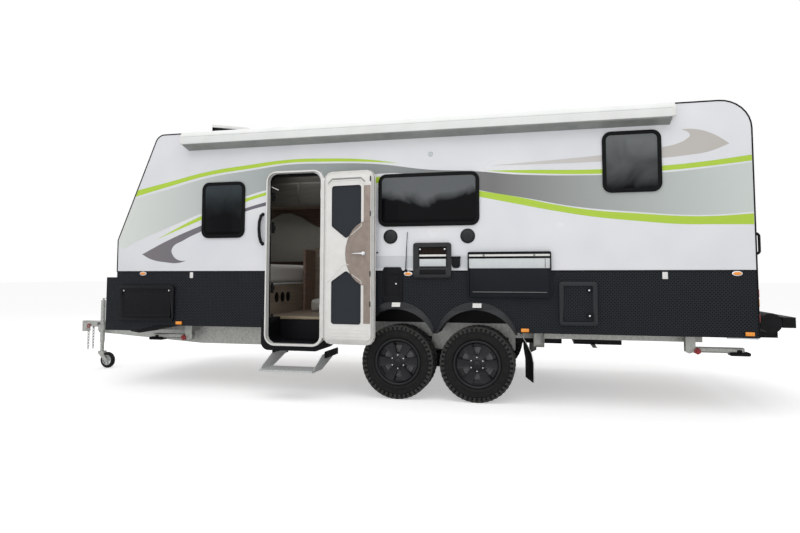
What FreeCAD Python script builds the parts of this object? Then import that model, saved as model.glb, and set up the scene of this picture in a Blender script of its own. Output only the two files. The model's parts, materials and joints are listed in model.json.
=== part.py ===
import FreeCAD, Part
import math
import os
from types import SimpleNamespace

import Sketcher
from FreeCAD import Placement, Rotation, Vector

# A tandem-axle travel caravan, parked on its wheels and jockey wheel with the entry door open.
# +X runs to the rear, +Y away from the door side, +Z up from the ground, in millimetres.
# Lengths along X below are counted from midway between the axles, and along Y from the
# centre line. The origin lies under the middle of the whole caravan.

driving_sizes = [
    ("nose_reach", 5455, "axle middle to the tip of the coupling"),
    ("step_reach", 1550, "centre line to the front edge of the entry step"),
    ("body_width", 2450, "over the side walls"),
    ("body_front", 3860, "axle middle to the upright front wall"),
    ("body_rear", 3028, "axle middle to the rear wall"),
    ("bar_reach", 539, "rear wall to the back of the rear bar"),
    ("skirt_bottom", 723, "ground to the lower edge of the side walls"),
    ("belt_height", 1346, "ground to the line between lower and upper wall"),
    ("roof_height", 2965, "ground to the roof skin"),
    ("wall", 40, "thickness of the sandwich walls"),
    ("roof_thickness", 45, "thickness of the roof"),
    ("floor_thickness", 40, "thickness of the floor"),
    ("rake_start", 1720, "ground to where the front wall starts to lean back"),
    ("rake_run", 515, "how far the front wall leans back by the roof"),
    ("front_corner", 120, "radius from front wall to roof"),
    ("rear_corner", 280, "radius from roof to rear wall"),
    ("panel_gap", 0.3, "seam between panels that meet"),
    ("boot_reach", 140, "how far the front boot stands out"),
    ("boot_top", 1279, "ground to the top of the front boot"),
    ("boot_bottom", 654, "ground to the underside of the front boot"),
    ("boot_length", 420, "front boot, front to back"),
    ("boot_skin", 30, "thickness of the front boot"),
    ("tyre_diameter", 775, "over the tread"),
    ("tyre_width", 245, "over the sidewalls"),
    ("shoulder_rise", 14, "tyre shoulder, from sidewall to tread"),
    ("shoulder_run", 11, "tyre shoulder, across the tread"),
    ("rim_diameter", 464, "bead seat"),
    ("rim_skin", 12, "rim barrel"),
    ("rim_lip", 110, "rim middle to the edge of its barrel"),
    ("disc_inset", 39, "rim middle to the back of the spokes"),
    ("spoke_depth", 38, "spokes, front to back"),
    ("hub_rise", 18, "how far the wheel's boss stands out from the spokes"),
    ("hub_boss", 116, "wheel boss, diameter"),
    ("axle_spacing", 840, "front axle to rear axle"),
    ("wheel_out", 267.5, "rail middle to wheel middle"),
    ("rail_bottom", 630, "ground to the underside of the chassis rails"),
    ("rail_height", 150, "chassis rail"),
    ("rail_width", 50, "chassis rail"),
    ("rail_skin", 4, "wall of the hollow chassis rails"),
    ("rail_track", 1600, "rail middle to rail middle across"),
    ("rail_front", 3560, "axle middle to the front end of the rails"),
    ("rail_rear", 2645, "axle middle to the rear end of the rails"),
    ("drawbar_height", 150, "the A-frame under the rails"),
    ("drawbar_bend", 2980, "axle middle to where the A-frame turns in"),
    ("drawbar_tail", 2060, "axle middle to the back end of the A-frame"),
    ("drawbar_tip", 5200, "axle middle to where the outer faces would meet"),
    ("drawbar_split", 12, "between the two A-frame rails at the nose"),
    ("cross_member_pitch", 1010, "cross member to cross member"),
    ("cross_member_width", 40, "channel across the chassis"),
    ("cross_member_height", 100, "channel across the chassis"),
    ("ball_diameter", 50, "tow ball that the coupling takes"),
    ("socket_play", 0.4, "coupling socket over the ball, all round"),
    ("coupling_radius", 52, "outside of the coupling head"),
    ("coupling_bottom", 492, "ground to the coupling head"),
    ("coupling_height", 150, "coupling head"),
    ("coupling_plate", 12, "thickness of the coupling's base plate"),
    ("link_inside", 42, "chain link, inside length"),
    ("link_width", 14, "chain link, inside width"),
    ("link_wire", 9, "chain link, wire across"),
    ("chain_spread", 45, "centre line to each safety chain"),
    ("chain_x", 5322, "axle middle to the safety chains"),
    ("jockey_x", 5010, "axle middle to the jockey wheel's post"),
    ("jockey_y", 130, "centre line to the jockey wheel's post"),
    ("jockey_post", 60, "outer post, diameter"),
    ("jockey_post_bottom", 360, "ground to the outer post"),
    ("jockey_post_top", 945, "ground to the top of the outer post"),
    ("jockey_slide", 48, "inner post, diameter"),
    ("jockey_lift", 120, "how far the jockey wheel winds up"),
    ("jockey_wheel", 220, "jockey wheel, diameter"),
    ("jockey_tread", 60, "jockey wheel, width"),
    ("jockey_rim", 152, "inside the jockey wheel's tyre, diameter"),
    ("jockey_web", 22, "thickness of the jockey wheel's disc"),
    ("jockey_axle", 16, "jockey wheel's axle, diameter"),
    ("jockey_trail", 100, "post to the jockey wheel's axle"),
    ("jockey_fork_top", 234, "ground to the top of the fork"),
    ("fork_plate", 6, "thickness of the fork"),
    ("running_gap", 6, "between moving pieces"),
    ("pin_gap", 0.3, "round a hinge pin"),
    ("spring_half", 340, "axle to each spring eye"),
    ("spring_eye_height", 520, "ground to the spring eyes"),
    ("spring_width", 45, "leaf spring across"),
    ("leaf_thickness", 8, "one leaf"),
    ("axle_beam", 50, "square axle beam"),
    ("drum_radius", 140, "brake drum"),
    ("drum_width", 62, "brake drum"),
    ("tank_bottom", 572, "ground to the water tanks"),
    ("tank_height", 92, "water tank"),
    ("tank_length", 480, "water tank"),
    ("front_tank_x", 800, "axle middle to the front water tank"),
    ("rear_tank_x", 1404, "axle middle to the rear water tank"),
    ("arm_half_track", 450, "centre line to each rear arm"),
    ("arm_width", 60, "rear arm"),
    ("arm_bottom", 655, "ground to the rear arms"),
    ("rear_bar_bottom", 770, "ground to the rear bar"),
    ("rear_bar_height", 106, "rear bar"),
    ("rear_bar_depth", 117, "rear bar, front to back"),
    ("rear_bar_half", 620, "centre line to the rear bar's ends"),
    ("hose_tube_out", 182, "rear wall to the middle of the hose tube"),
    ("hose_tube_diameter", 190, "hose tube across the back"),
    ("hose_tube_height", 845, "ground to the middle of the hose tube"),
    ("hose_tube_half", 1000, "centre line to the hose tube's ends"),
    ("door_frame_left", 1930, "axle middle to the door frame's far edge"),
    ("door_frame_right", 1262, "axle middle to the door frame's hinge edge"),
    ("door_frame_bottom", 533, "ground to the door frame"),
    ("door_below_roof", 506, "roof to the top of the door frame"),
    ("door_frame_rim", 66, "width of the door frame's face"),
    ("door_frame_proud", 22, "how far the door frame stands out"),
    ("door_corner", 130, "radius of the door frame's corners"),
    ("door_overlap", 30, "how far the door covers its frame's opening"),
    ("door_skin", 16, "rim of the door that covers the frame"),
    ("door_depth", 38, "part of the door that sits in the frame"),
    ("screen_door", 24, "thickness of the screen door's moulding"),
    ("door_open_angle", 176, "how far the door stands open"),
    ("door_pin", 10, "door hinge pin"),
    ("well_left", 1975, "axle middle to the step well's far side"),
    ("well_right", 1250, "axle middle to the step well's near side"),
    ("well_bottom", 476, "ground to the step well"),
    ("well_floor", 560, "ground to the tread inside the step well"),
    ("well_gap", 40, "rail to the step well's riser"),
    ("well_skin", 30, "thickness of the riser"),
    ("well_corner", 90, "radius of the step well's lower corners"),
    ("step_left", 1823, "axle middle to the entry step's far end"),
    ("step_right", 1225, "axle middle to the entry step's near end"),
    ("step_tread_top", 320, "ground to the entry step"),
    ("step_tread_depth", 270, "entry step, front to back"),
    ("step_travel", 330, "how far the entry step slides in"),
    ("arch_radius", 446, "wheel arch cut in the side wall"),
    ("arch_centre_height", 522, "ground to the centre of the wheel arch cut"),
    ("flare_radius", 440, "outer edge of the arch flare"),
    ("flare_centre_height", 590, "ground to the centre of the flare's outer edge"),
    ("flare_bottom", 700, "ground to the flare's ends"),
    ("flare_proud", 40, "how far the flares stand out"),
    ("wheel_box_half", 880, "axle middle to each end of the wheel boxes"),
    ("wheel_box_top", 1005, "ground to the top of the wheel boxes"),
    ("wheel_box_skin", 8, "thickness of the wheel boxes"),
    ("window_corner", 85, "radius of the windows' corners"),
    ("window_proud", 18, "how far the window frames stand out"),
    ("window_rim", 34, "face of the window frames"),
    ("pane", 6, "thickness of the window panes"),
    ("bedroom_window_x", 2735, "axle middle to the front window's far edge"),
    ("bedroom_window_drop", 1238, "roof to the foot of the front window"),
    ("bedroom_window_length", 540, "front window"),
    ("bedroom_window_height", 643, "front window"),
    ("dinette_window_x", 617, "axle middle to the middle window's front edge"),
    ("dinette_window_drop", 1147, "roof to the foot of the middle window"),
    ("dinette_window_length", 1081, "middle window"),
    ("dinette_window_height", 564, "middle window"),
    ("ensuite_window_x", 1680, "axle middle to the rear window's front edge"),
    ("ensuite_window_drop", 855, "roof to the foot of the rear window"),
    ("ensuite_window_length", 549, "rear window"),
    ("ensuite_window_height", 606, "rear window"),
    ("awning_front", 2960, "axle middle to the awning's front end"),
    ("awning_rear", 2340, "axle middle to the awning's rear end"),
    ("awning_drop", 208, "roof to the awning's lower edge at the wall"),
    ("awning_below_roof", 20, "roof to the top of the awning"),
    ("awning_proud", 135, "how far the awning stands out"),
    ("awning_cap", 28, "thickness of the awning's end caps"),
    ("cooler_front", 3170, "axle middle to the front of the roof air conditioner"),
    ("cooler_length", 1020, "roof air conditioner"),
    ("cooler_half_width", 400, "roof air conditioner"),
    ("cooler_rise", 338, "roof to the top of the air conditioner"),
    ("cooler_fall", 150, "how far the air conditioner's top slopes down"),
    ("cooler_plinth", 30, "seal under the air conditioner"),
    ("hatch_length", 520, "roof hatch"),
    ("hatch_height", 85, "roof hatch"),
    ("front_hatch_x", -380, "axle middle to the middle of the front roof hatch"),
    ("rear_hatch_x", 1950, "axle middle to the middle of the rear roof hatch"),
    ("lid", 16, "thickness of the outside lids"),
    ("lid_rim", 34, "frame round the outside lids"),
    ("lid_pin", 6, "hinge pin of the outside lids"),
    ("lid_corner", 24, "radius of the outside lids' corners"),
    ("boot_lid_front", 3800, "axle middle to the boot lid's front edge"),
    ("boot_lid_length", 730, "boot lid with its frame"),
    ("boot_lid_bottom", 770, "ground to the boot lid's frame"),
    ("boot_lid_height", 417, "boot lid with its frame"),
    ("locker_front", 1248, "axle middle to the rear locker's front edge"),
    ("locker_length", 362, "rear locker lid with its frame"),
    ("locker_bottom", 810, "ground to the rear locker's frame"),
    ("locker_height", 430, "rear locker lid with its frame"),
    ("service_front", 216, "axle middle to the service hatch's front edge"),
    ("service_length", 381, "service hatch with its frame"),
    ("service_bottom", 1352, "ground to the service hatch's frame"),
    ("service_height", 287, "service hatch with its frame"),
    ("battery_front", 594, "axle middle to the battery hatch's front edge"),
    ("battery_length", 241, "battery hatch with its frame"),
    ("battery_bottom", 1046, "ground to the battery hatch's frame"),
    ("battery_height", 296, "battery hatch with its frame"),
    ("table_front", 343, "axle middle to the picnic table's front end"),
    ("table_length", 834, "picnic table"),
    ("table_bottom", 1068, "ground to the folded picnic table"),
    ("table_height", 473, "folded picnic table"),
    ("table_thickness", 34, "folded picnic table"),
    ("table_pin", 8, "picnic table's hinge pins"),
    ("leg_pivot_height", 578, "ground to the stabiliser legs' pivots"),
    ("leg_length", 520, "stabiliser leg, pivot to foot"),
    ("leg_width", 56, "stabiliser leg"),
    ("leg_depth", 40, "stabiliser leg"),
    ("leg_pin", 16, "stabiliser leg's pivot pin"),
    ("leg_out", 105, "rail to the middle of the stabiliser legs"),
    ("front_leg_x", 3060, "axle middle to the front legs' pivots"),
    ("rear_leg_x", 2500, "axle middle to the rear legs' pivots"),
    ("foot_length", 150, "stabiliser foot"),
    ("foot_width", 110, "stabiliser foot"),
    ("foot_height", 38, "stabiliser foot"),
    ("handle_bar", 24, "grab handle, across the bar"),
    ("handle_stand", 60, "how far the grab handles stand off"),
    ("bed_foot", 2150, "axle middle to the foot of the bed"),
    ("bulkhead_x", 3000, "axle middle to the boot's bulkhead"),
    ("bed_half_width", 760, "centre line to the bed's sides"),
    ("bed_height", 1200, "ground to the top of the bed base"),
    ("board", 18, "thickness of the furniture boards"),
    ("mattress", 250, "thickness of the mattress"),
]

doc = FreeCAD.newDocument("TravelCaravan")
sheet = doc.addObject("Spreadsheet::Sheet", "Sizes")
for row, (alias, value, meaning) in enumerate(driving_sizes, start=1):
    sheet.set(f"A{row}", meaning)
    sheet.set(f"B{row}", str(value))
    sheet.setAlias(f"B{row}", alias)
doc.recompute()


class Size:
    """A length with the sheet's expression that gives it, so that sums of sizes stay bound."""

    def __init__(self, value, text):
        self.value = float(value)
        self.text = text

    def __add__(self, other):
        other = as_size(other)
        return Size(self.value + other.value, f"({self.text} + {other.text})")

    def __sub__(self, other):
        other = as_size(other)
        return Size(self.value - other.value, f"({self.text} - {other.text})")

    def __mul__(self, other):
        other = as_size(other)
        return Size(self.value * other.value, f"({self.text} * {other.text})")

    def __truediv__(self, other):
        other = as_size(other)
        return Size(self.value / other.value, f"({self.text} / {other.text})")

    def __neg__(self):
        return as_size(0) - self

    def __radd__(self, other):
        return as_size(other) + self

    def __rsub__(self, other):
        return as_size(other) - self

    def __rmul__(self, other):
        return as_size(other) * self

    def __float__(self):
        return self.value


def as_size(number):
    return number if isinstance(number, Size) else Size(number, f"({float(number)})")


size = SimpleNamespace(**{alias: Size(sheet.get(alias), f"Sizes.{alias}") for alias, _, _ in driving_sizes})

# The middle of the caravan's outline, which the origin lies under.
half_width = size.body_width / 2
tail_reach = size.body_rear + size.bar_reach
middle = (size.nose_reach - tail_reach) / 2
centre = (size.step_reach - half_width - size.flare_proud) / 2
nodes = []


def bind(piece, path, value):
    piece.setExpression(path, as_size(value).text)


def place(piece, x=0, y=0, z=0):
    bind(piece, "Placement.Base.x", middle + x)
    bind(piece, "Placement.Base.y", centre + y)
    bind(piece, "Placement.Base.z", z)


def node(label, piece):
    """Name a finished sub-part; its label is its file's name."""
    piece.Label = label
    nodes.append(piece)
    return piece


def box(name, x, y, z):
    """A block between two limits on each axis."""
    piece = doc.addObject("Part::Box", name)
    bind(piece, "Length", x[1] - x[0])
    bind(piece, "Width", y[1] - y[0])
    bind(piece, "Height", z[1] - z[0])
    place(piece, x[0], y[0], z[0])
    return piece


turns = {
    "X": Rotation(Vector(0, 1, 0), 90),
    "Y": Rotation(Vector(1, 0, 0), -90),
    "Z": Rotation(),
}


def rod(name, start, diameter, length, along):
    """A round bar from a point, along one axis."""
    piece = doc.addObject("Part::Cylinder", name)
    bind(piece, "Radius", diameter / 2)
    bind(piece, "Height", length)
    piece.Placement = Placement(Vector(), turns[along])
    place(piece, *start)
    return piece


def flat_sided(name, start, diameter, length, along, sides=8):
    """A bar or disc with flats all round, measured over its corners."""
    piece = doc.addObject("Part::Prism", name)
    piece.Polygon = sides
    bind(piece, "Circumradius", diameter / 2)
    bind(piece, "Height", length)
    piece.Placement = Placement(Vector(), turns[along])
    place(piece, *start)
    return piece


def cut(name, base, *tools):
    piece = doc.addObject("Part::Cut", name)
    piece.Base = base
    piece.Tool = tools[0] if len(tools) == 1 else fuse(name + "_tools", *tools)
    return piece


def fuse(name, *pieces):
    piece = doc.addObject("Part::MultiFuse", name)
    piece.Shapes = list(pieces)
    return piece


def group(name, *pieces):
    """Separate solids that share one sub-part."""
    piece = doc.addObject("Part::Compound", name)
    piece.Links = list(pieces)
    return piece


def mirror(name, source):
    """The same piece on the other side of the centre line."""
    piece = doc.addObject("Part::Mirroring", name)
    piece.Source = source
    piece.Normal = Vector(0, 1, 0)
    bind(piece, "Base.y", centre)
    return piece


def both_sides(name, source):
    return group(name, source, mirror(name + "_far", source))


def draw(sketch, corners):
    """Draw a closed outline; each corner is (across, up) or (across, up, radius)."""
    spots = [Vector(float(corner[0]), float(corner[1]), 0) for corner in corners]
    radii = [corner[2] if len(corner) > 2 else None for corner in corners]
    count = len(corners)
    entries, exits, arcs = [], [], []
    for here in range(count):
        spot = spots[here]
        back = (spots[here - 1] - spot).normalize()
        ahead = (spots[(here + 1) % count] - spot).normalize()
        if radii[here] is None:
            entries.append(spot)
            exits.append(spot)
            arcs.append(None)
            continue
        radius = float(radii[here])
        half = back.getAngle(ahead) / 2
        entries.append(spot + back * (radius / math.tan(half)))
        exits.append(spot + ahead * (radius / math.tan(half)))
        hub = spot + (back + ahead).normalize() * (radius / math.sin(half))
        turns_left = back.cross(ahead).z < 0
        first, last = (entries[-1], exits[-1]) if turns_left else (exits[-1], entries[-1])
        start = math.atan2(first.y - hub.y, first.x - hub.x)
        sweep = math.pi - 2 * half
        arc = Part.ArcOfCircle(Part.Circle(hub, Vector(0, 0, 1), radius), start, start + sweep)
        arcs.append((arc, turns_left))
    lines = [
        sketch.addGeometry(Part.LineSegment(exits[here], entries[(here + 1) % count]), False)
        for here in range(count)
    ]
    rule = Sketcher.Constraint
    for here in range(count):
        before, after = lines[here - 1], lines[here]
        across, up = as_size(corners[here][0]), as_size(corners[here][1])
        if arcs[here] is None:
            sketch.addConstraint(rule("Coincident", before, 2, after, 1))
            point, end = after, 1
        else:
            arc, turns_left = arcs[here]
            bend = sketch.addGeometry(arc, False)
            point, end = sketch.addGeometry(Part.Point(spots[here]), True), 1
            enter, leave = (1, 2) if turns_left else (2, 1)
            sketch.addConstraint(
                [
                    rule("Tangent", before, 2, bend, enter),
                    rule("Tangent", bend, leave, after, 1),
                    rule("PointOnObject", point, 1, before),
                    rule("PointOnObject", point, 1, after),
                ]
            )
            index = sketch.addConstraint(rule("Radius", bend, float(radii[here])))
            bind(sketch, f"Constraints[{index}]", radii[here])
        index = sketch.addConstraint(rule("DistanceX", -1, 1, point, end, across.value))
        bind(sketch, f"Constraints[{index}]", across)
        index = sketch.addConstraint(rule("DistanceY", -1, 1, point, end, up.value))
        bind(sketch, f"Constraints[{index}]", up)


planes = {"XY": "XY_Plane", "XZ": "XZ_Plane", "YZ": "YZ_Plane"}


def start_body(name):
    body = doc.addObject("PartDesign::Body", name)
    place(body)
    return body


def sketch_on(body, name, plane, outlines, offset=0):
    sketch = body.newObject("Sketcher::SketchObject", name)
    origin = [face for face in body.Origin.OriginFeatures if face.Role == planes[plane]]
    sketch.AttachmentSupport = [(origin[0], "")]
    sketch.MapMode = "FlatFace"
    bind(sketch, "AttachmentOffset.Base.z", offset)
    for outline in outlines:
        draw(sketch, outline)
    return sketch


def pad(name, plane, outline, start, end, holes=()):
    """A plate or bar: an outline on a plane, carried from one distance to another."""
    body = start_body(name)
    offset = -as_size(end) if plane == "XZ" else start
    sketch = sketch_on(body, name + "_outline", plane, [outline, *holes], offset)
    solid = body.newObject("PartDesign::Pad", name + "_pad")
    solid.Profile = sketch
    bind(solid, "Length", as_size(end) - start)
    return body


def rectangle(left, right, bottom, top, radius=None):
    """Four corners, each of them three flats along its radius where one is given."""
    corners = [(left, bottom, 1, 1), (right, bottom, -1, 1), (right, top, -1, -1), (left, top, 1, -1)]
    if radius is None:
        return [(across, up) for across, up, _, _ in corners]
    outline = []
    for across, up, right_way, up_way in corners:
        bend = range(0, 91, 30) if right_way == up_way else range(90, -1, -30)
        for turn in (math.radians(degrees) for degrees in bend):
            outline.append((
                across + right_way * radius * (1 - math.cos(turn)),
                up + up_way * radius * (1 - math.sin(turn)),
            ))
    return outline


def inset(limits, margin):
    left, right, bottom, top = limits
    return (left + margin, right - margin, bottom + margin, top - margin)


def flat_disc(to_flat, near, far, sides=24):
    """A disc about a wheel's own axis, with flats all round and one of them underneath."""
    corner = float(to_flat) / math.cos(math.pi / sides)
    turns_round = [math.pi * (2 * side + 1) / sides for side in range(sides + 1)]
    ring = [Vector(corner * math.sin(turn), float(near), -corner * math.cos(turn)) for turn in turns_round]
    return Part.Face(Part.makePolygon(ring)).extrude(Vector(0, float(far) - float(near), 0))


def wheel_piece(name, shape):
    piece = doc.addObject("Part::Feature", name)
    piece.Shape = shape.removeSplitter()
    return piece


# Chassis rails, cross members and the A-frame in front
rail_top = size.rail_bottom + size.rail_height
rail_inner = (size.rail_track - size.rail_width) / 2
rail_outer = (size.rail_track + size.rail_width) / 2
floor_top = rail_top + size.floor_thickness
wheel_track = size.rail_track + 2 * size.wheel_out
well_back = rail_outer + size.well_gap
door_frame_top = size.roof_height - size.door_below_roof


def hollow_rail(name, x, bottom, top):
    limits = (-rail_outer, -rail_inner, bottom, top)
    hollow = [rectangle(*inset(limits, size.rail_skin))]
    return pad(name, "YZ", rectangle(*limits), x[0], x[1], hollow)


chassis_rail = hollow_rail("rail", (-size.rail_front, size.rail_rear), size.rail_bottom, rail_top)
node("chassis_rails", both_sides("rails", chassis_rail))

cross_members = []
first_member = size.rail_rear - size.cross_member_width - 40
for place_number in range(7):
    rear_face = first_member - place_number * size.cross_member_pitch
    cross_members.append(
        box(
            "cross_member",
            (rear_face, rear_face + size.cross_member_width),
            (-rail_inner, rail_inner),
            (rail_top - size.cross_member_height, rail_top),
        )
    )
node("cross_members", group("members", *cross_members))

drawbar_top = size.rail_bottom
drawbar_bottom = size.rail_bottom - size.drawbar_height
lean = rail_outer / (size.drawbar_tip - size.drawbar_bend)
tip_cut = size.drawbar_split / 2
face_run = size.rail_width * 1.067
outer_tip = -(size.drawbar_tip - tip_cut / lean)
inner_tip = outer_tip + face_run / lean
drawbar_nose = pad(
    "drawbar_nose",
    "XY",
    [
        (-size.drawbar_bend - size.panel_gap, -rail_outer),
        (-size.drawbar_bend - size.panel_gap, face_run - rail_outer),
        (inner_tip, -tip_cut),
        (outer_tip, -tip_cut),
    ],
    drawbar_bottom,
    drawbar_top,
)
drawbar_rail = hollow_rail(
    "drawbar_rail", (-size.drawbar_bend, -size.drawbar_tail), drawbar_bottom, drawbar_top
)
node("drawbar", both_sides("a_frame", group("drawbar_side", drawbar_nose, drawbar_rail)))

# Ball coupling on the nose
socket_x = size.coupling_radius - size.nose_reach
coupling_top = size.coupling_bottom + size.coupling_height
socket_bore = size.ball_diameter + 2 * size.socket_play
coupling_neck_half = size.coupling_radius * 0.7
coupling_head = cut(
    "coupling_head",
    fuse(
        "coupling_body",
        flat_sided("coupling_dome", (socket_x, 0, size.coupling_bottom), 2 * size.coupling_radius,
                   size.coupling_height, "Z", 20),
        box("coupling_neck", (socket_x, outer_tip + 150), (-coupling_neck_half, coupling_neck_half),
            (drawbar_top - 70, coupling_top)),
        box("coupling_base", (outer_tip, outer_tip + 300), (-95, 95),
            (drawbar_top, drawbar_top + size.coupling_plate)),
    ),
    rod("socket", (socket_x, 0, size.coupling_bottom), socket_bore, size.coupling_height * 0.6, "Z"),
    box("nose_clearance", (outer_tip - 1, outer_tip + 151), (-coupling_neck_half, coupling_neck_half),
        (drawbar_top - 71, drawbar_top)),
)
chain_top = drawbar_top - 55
chain_pin = size.link_width - 4
pin_end = size.chain_spread + 12
pin_height = chain_top - chain_pin / 2 - size.pin_gap
chain_pins = rod("chain_pins", (-size.chain_x, -pin_end, pin_height), chain_pin, 2 * pin_end, "Y")
node("coupling", fuse("coupling_with_pins", coupling_head, chain_pins))

# Safety chains, each link turned a quarter against the one before
def swept_bar(name, route, section):
    """A bar of flat sides along straight runs, mitred where they meet."""
    sweep = Part.BRepOffsetAPI.MakePipeShell(Part.makePolygon(route))
    sweep.setTransitionMode(1)
    sweep.add(Part.makePolygon([*section, section[0]]))
    sweep.build()
    sweep.makeSolid()
    piece = doc.addObject("Part::Feature", name)
    piece.Shape = sweep.shape().removeSplitter()
    return piece


def chain_link(name, x, y, z, quarter):
    """One link of six-sided bar, with three straight runs round each bow."""
    half_wire = float(size.link_wire) / 2
    bow = float(size.link_width + size.link_wire) / 2
    straight = float(size.link_inside) / 2 + half_wire - bow * math.sin(math.radians(60))
    route = [Vector(bow, 0, 0)]
    for first_turn, height in ((0, straight), (180, -straight)):
        for turn in range(first_turn, first_turn + 181, 60):
            angle = math.radians(turn)
            route.append(Vector(bow * math.cos(angle), 0, height + bow * math.sin(angle)))
    route.append(route[0])
    section = [
        Vector(bow + half_wire * math.cos(turn), half_wire * math.sin(turn), 0)
        for turn in (math.radians(60 * corner) for corner in range(6))
    ]
    piece = swept_bar(name, route, section)
    piece.Placement = Placement(Vector(), Rotation(Vector(0, 0, 1), 90 * quarter))
    place(piece, x, y, z)
    return piece


link_pitch = size.link_inside - size.pin_gap
chain_links = 8
links = []
for side in (-1, 1):
    for number in range(chain_links):
        drop = (number + 0.5) * link_pitch
        links.append(
            chain_link("link", -size.chain_x, side * size.chain_spread, chain_top - drop, number % 2)
        )
node("safety_chains", group("chains", *links))

# Jockey wheel: post clamped beside the nose, inner post, fork and wheel
post = (-size.jockey_x, -size.jockey_y)
post_bore = size.jockey_slide + 2 * size.pin_gap
post_cap = 40
post_wall_top = size.jockey_post_top - post_cap
clamp_bottom = drawbar_bottom + 40
clamp_ends = (post[0] - 45, post[0] + 45)
clamp_outline = [
    (clamp_ends[0], post[1] - 38),
    (clamp_ends[1], post[1] - 38),
    (clamp_ends[1], -size.panel_gap - (size.drawbar_tip + clamp_ends[1]) * lean),
    (clamp_ends[0], -size.panel_gap - (size.drawbar_tip + clamp_ends[0]) * lean),
]
node(
    "jockey_post",
    cut(
        "post",
        fuse(
            "post_outside",
            rod("post_tube", (*post, size.jockey_post_bottom), size.jockey_post,
                size.jockey_post_top - size.jockey_post_bottom, "Z"),
            pad("post_clamp", "XY", clamp_outline, clamp_bottom, clamp_bottom + 80),
            flat_sided("crank_boss", (*post, size.jockey_post_top), 26, 24, "Z"),
            box("crank_arm", (post[0] - 12, post[0] + 95), (post[1] - 9, post[1] + 9),
                (size.jockey_post_top + 24, size.jockey_post_top + 32)),
            flat_sided("crank_grip", (post[0] + 82, post[1], size.jockey_post_top + 32), 24, 75, "Z"),
        ),
        rod("post_bore", (*post, size.jockey_post_bottom), post_bore,
            post_wall_top - size.jockey_post_bottom, "Z"),
    ),
)
slide_bottom = size.jockey_fork_top + size.pin_gap
slide_top = post_wall_top - size.jockey_lift - size.running_gap
node(
    "jockey_slide",
    rod("inner_post", (*post, slide_bottom), size.jockey_slide, slide_top - slide_bottom, "Z"),
)
wheel_x = size.jockey_trail - size.jockey_x
axle_z = size.jockey_wheel / 2
fork_inner = size.jockey_tread / 2 + size.running_gap
fork_outer = fork_inner + size.fork_plate
fork_side = pad(
    "fork_side",
    "XZ",
    [
        (post[0] - 30, size.jockey_fork_top),
        (post[0] - 30, size.jockey_fork_top - 30),
        (wheel_x - 12, axle_z - 22),
        (wheel_x + 18, axle_z - 10),
        (wheel_x + 18, axle_z + 18),
        (post[0] + 34, size.jockey_fork_top),
    ],
    -size.jockey_y - fork_outer,
    -size.jockey_y - fork_inner,
)
fork_crown = box(
    "fork_crown",
    (post[0] - 30, post[0] + 30),
    (-size.jockey_y - fork_inner, -size.jockey_y + fork_inner),
    (size.jockey_fork_top - size.fork_plate, size.jockey_fork_top),
)
fork_far = doc.addObject("Part::Mirroring", "fork_far")
fork_far.Source = fork_side
fork_far.Normal = Vector(0, 1, 0)
bind(fork_far, "Base.y", centre - size.jockey_y)
node(
    "jockey_fork",
    fuse(
        "fork",
        fork_side,
        fork_far,
        fork_crown,
        rod("fork_axle", (wheel_x, -size.jockey_y - fork_outer, axle_z), size.jockey_axle, 2 * fork_outer,
            "Y"),
    ),
)
tread_half = size.jockey_tread / 2
web_half = size.jockey_web / 2
axle_bore = size.jockey_axle / 2 + size.pin_gap
small_tyre = flat_disc(axle_z, -tread_half, tread_half)
for hollow in ((-tread_half, -web_half), (web_half, tread_half)):
    small_tyre = small_tyre.cut(flat_disc(size.jockey_rim / 2, *hollow))
small_bore = Part.makeCylinder(float(axle_bore), float(size.jockey_web), Vector(0, float(-web_half), 0),
                               Vector(0, 1, 0))
jockey_wheel = wheel_piece("small_wheel", small_tyre.cut(small_bore))
place(jockey_wheel, wheel_x, -size.jockey_y, axle_z)
node("jockey_wheel", jockey_wheel)

# Axles with brake drums, leaf springs and their hangers
axle_xs = {"front": -size.axle_spacing / 2, "rear": size.axle_spacing / 2}
wheel_height = size.tyre_diameter / 2
spring_y = size.rail_track / 2
hub_face = wheel_track / 2 + size.disc_inset - size.pin_gap
drum_outer = wheel_track / 2 - size.drum_width
axles = []
for axle_x in axle_xs.values():
    beam_half = size.axle_beam / 2
    beam = box(
        "axle_beam",
        (axle_x - beam_half, axle_x + beam_half),
        (-drum_outer + size.drum_width, drum_outer - size.drum_width),
        (wheel_height - beam_half, wheel_height + beam_half),
    )
    drums = [
        flat_sided("drum", (axle_x, start, wheel_height), 2 * size.drum_radius, size.drum_width, "Y", 24)
        for start in (-drum_outer, drum_outer - size.drum_width)
    ]
    stubs = [
        flat_sided("hub", (axle_x, start, wheel_height), size.drum_radius, hub_face - drum_outer, "Y", 16)
        for start in (-hub_face, drum_outer)
    ]
    axles.append(fuse("axle", beam, *drums, *stubs))
node("axles", group("axle_pair", *axles))


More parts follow.
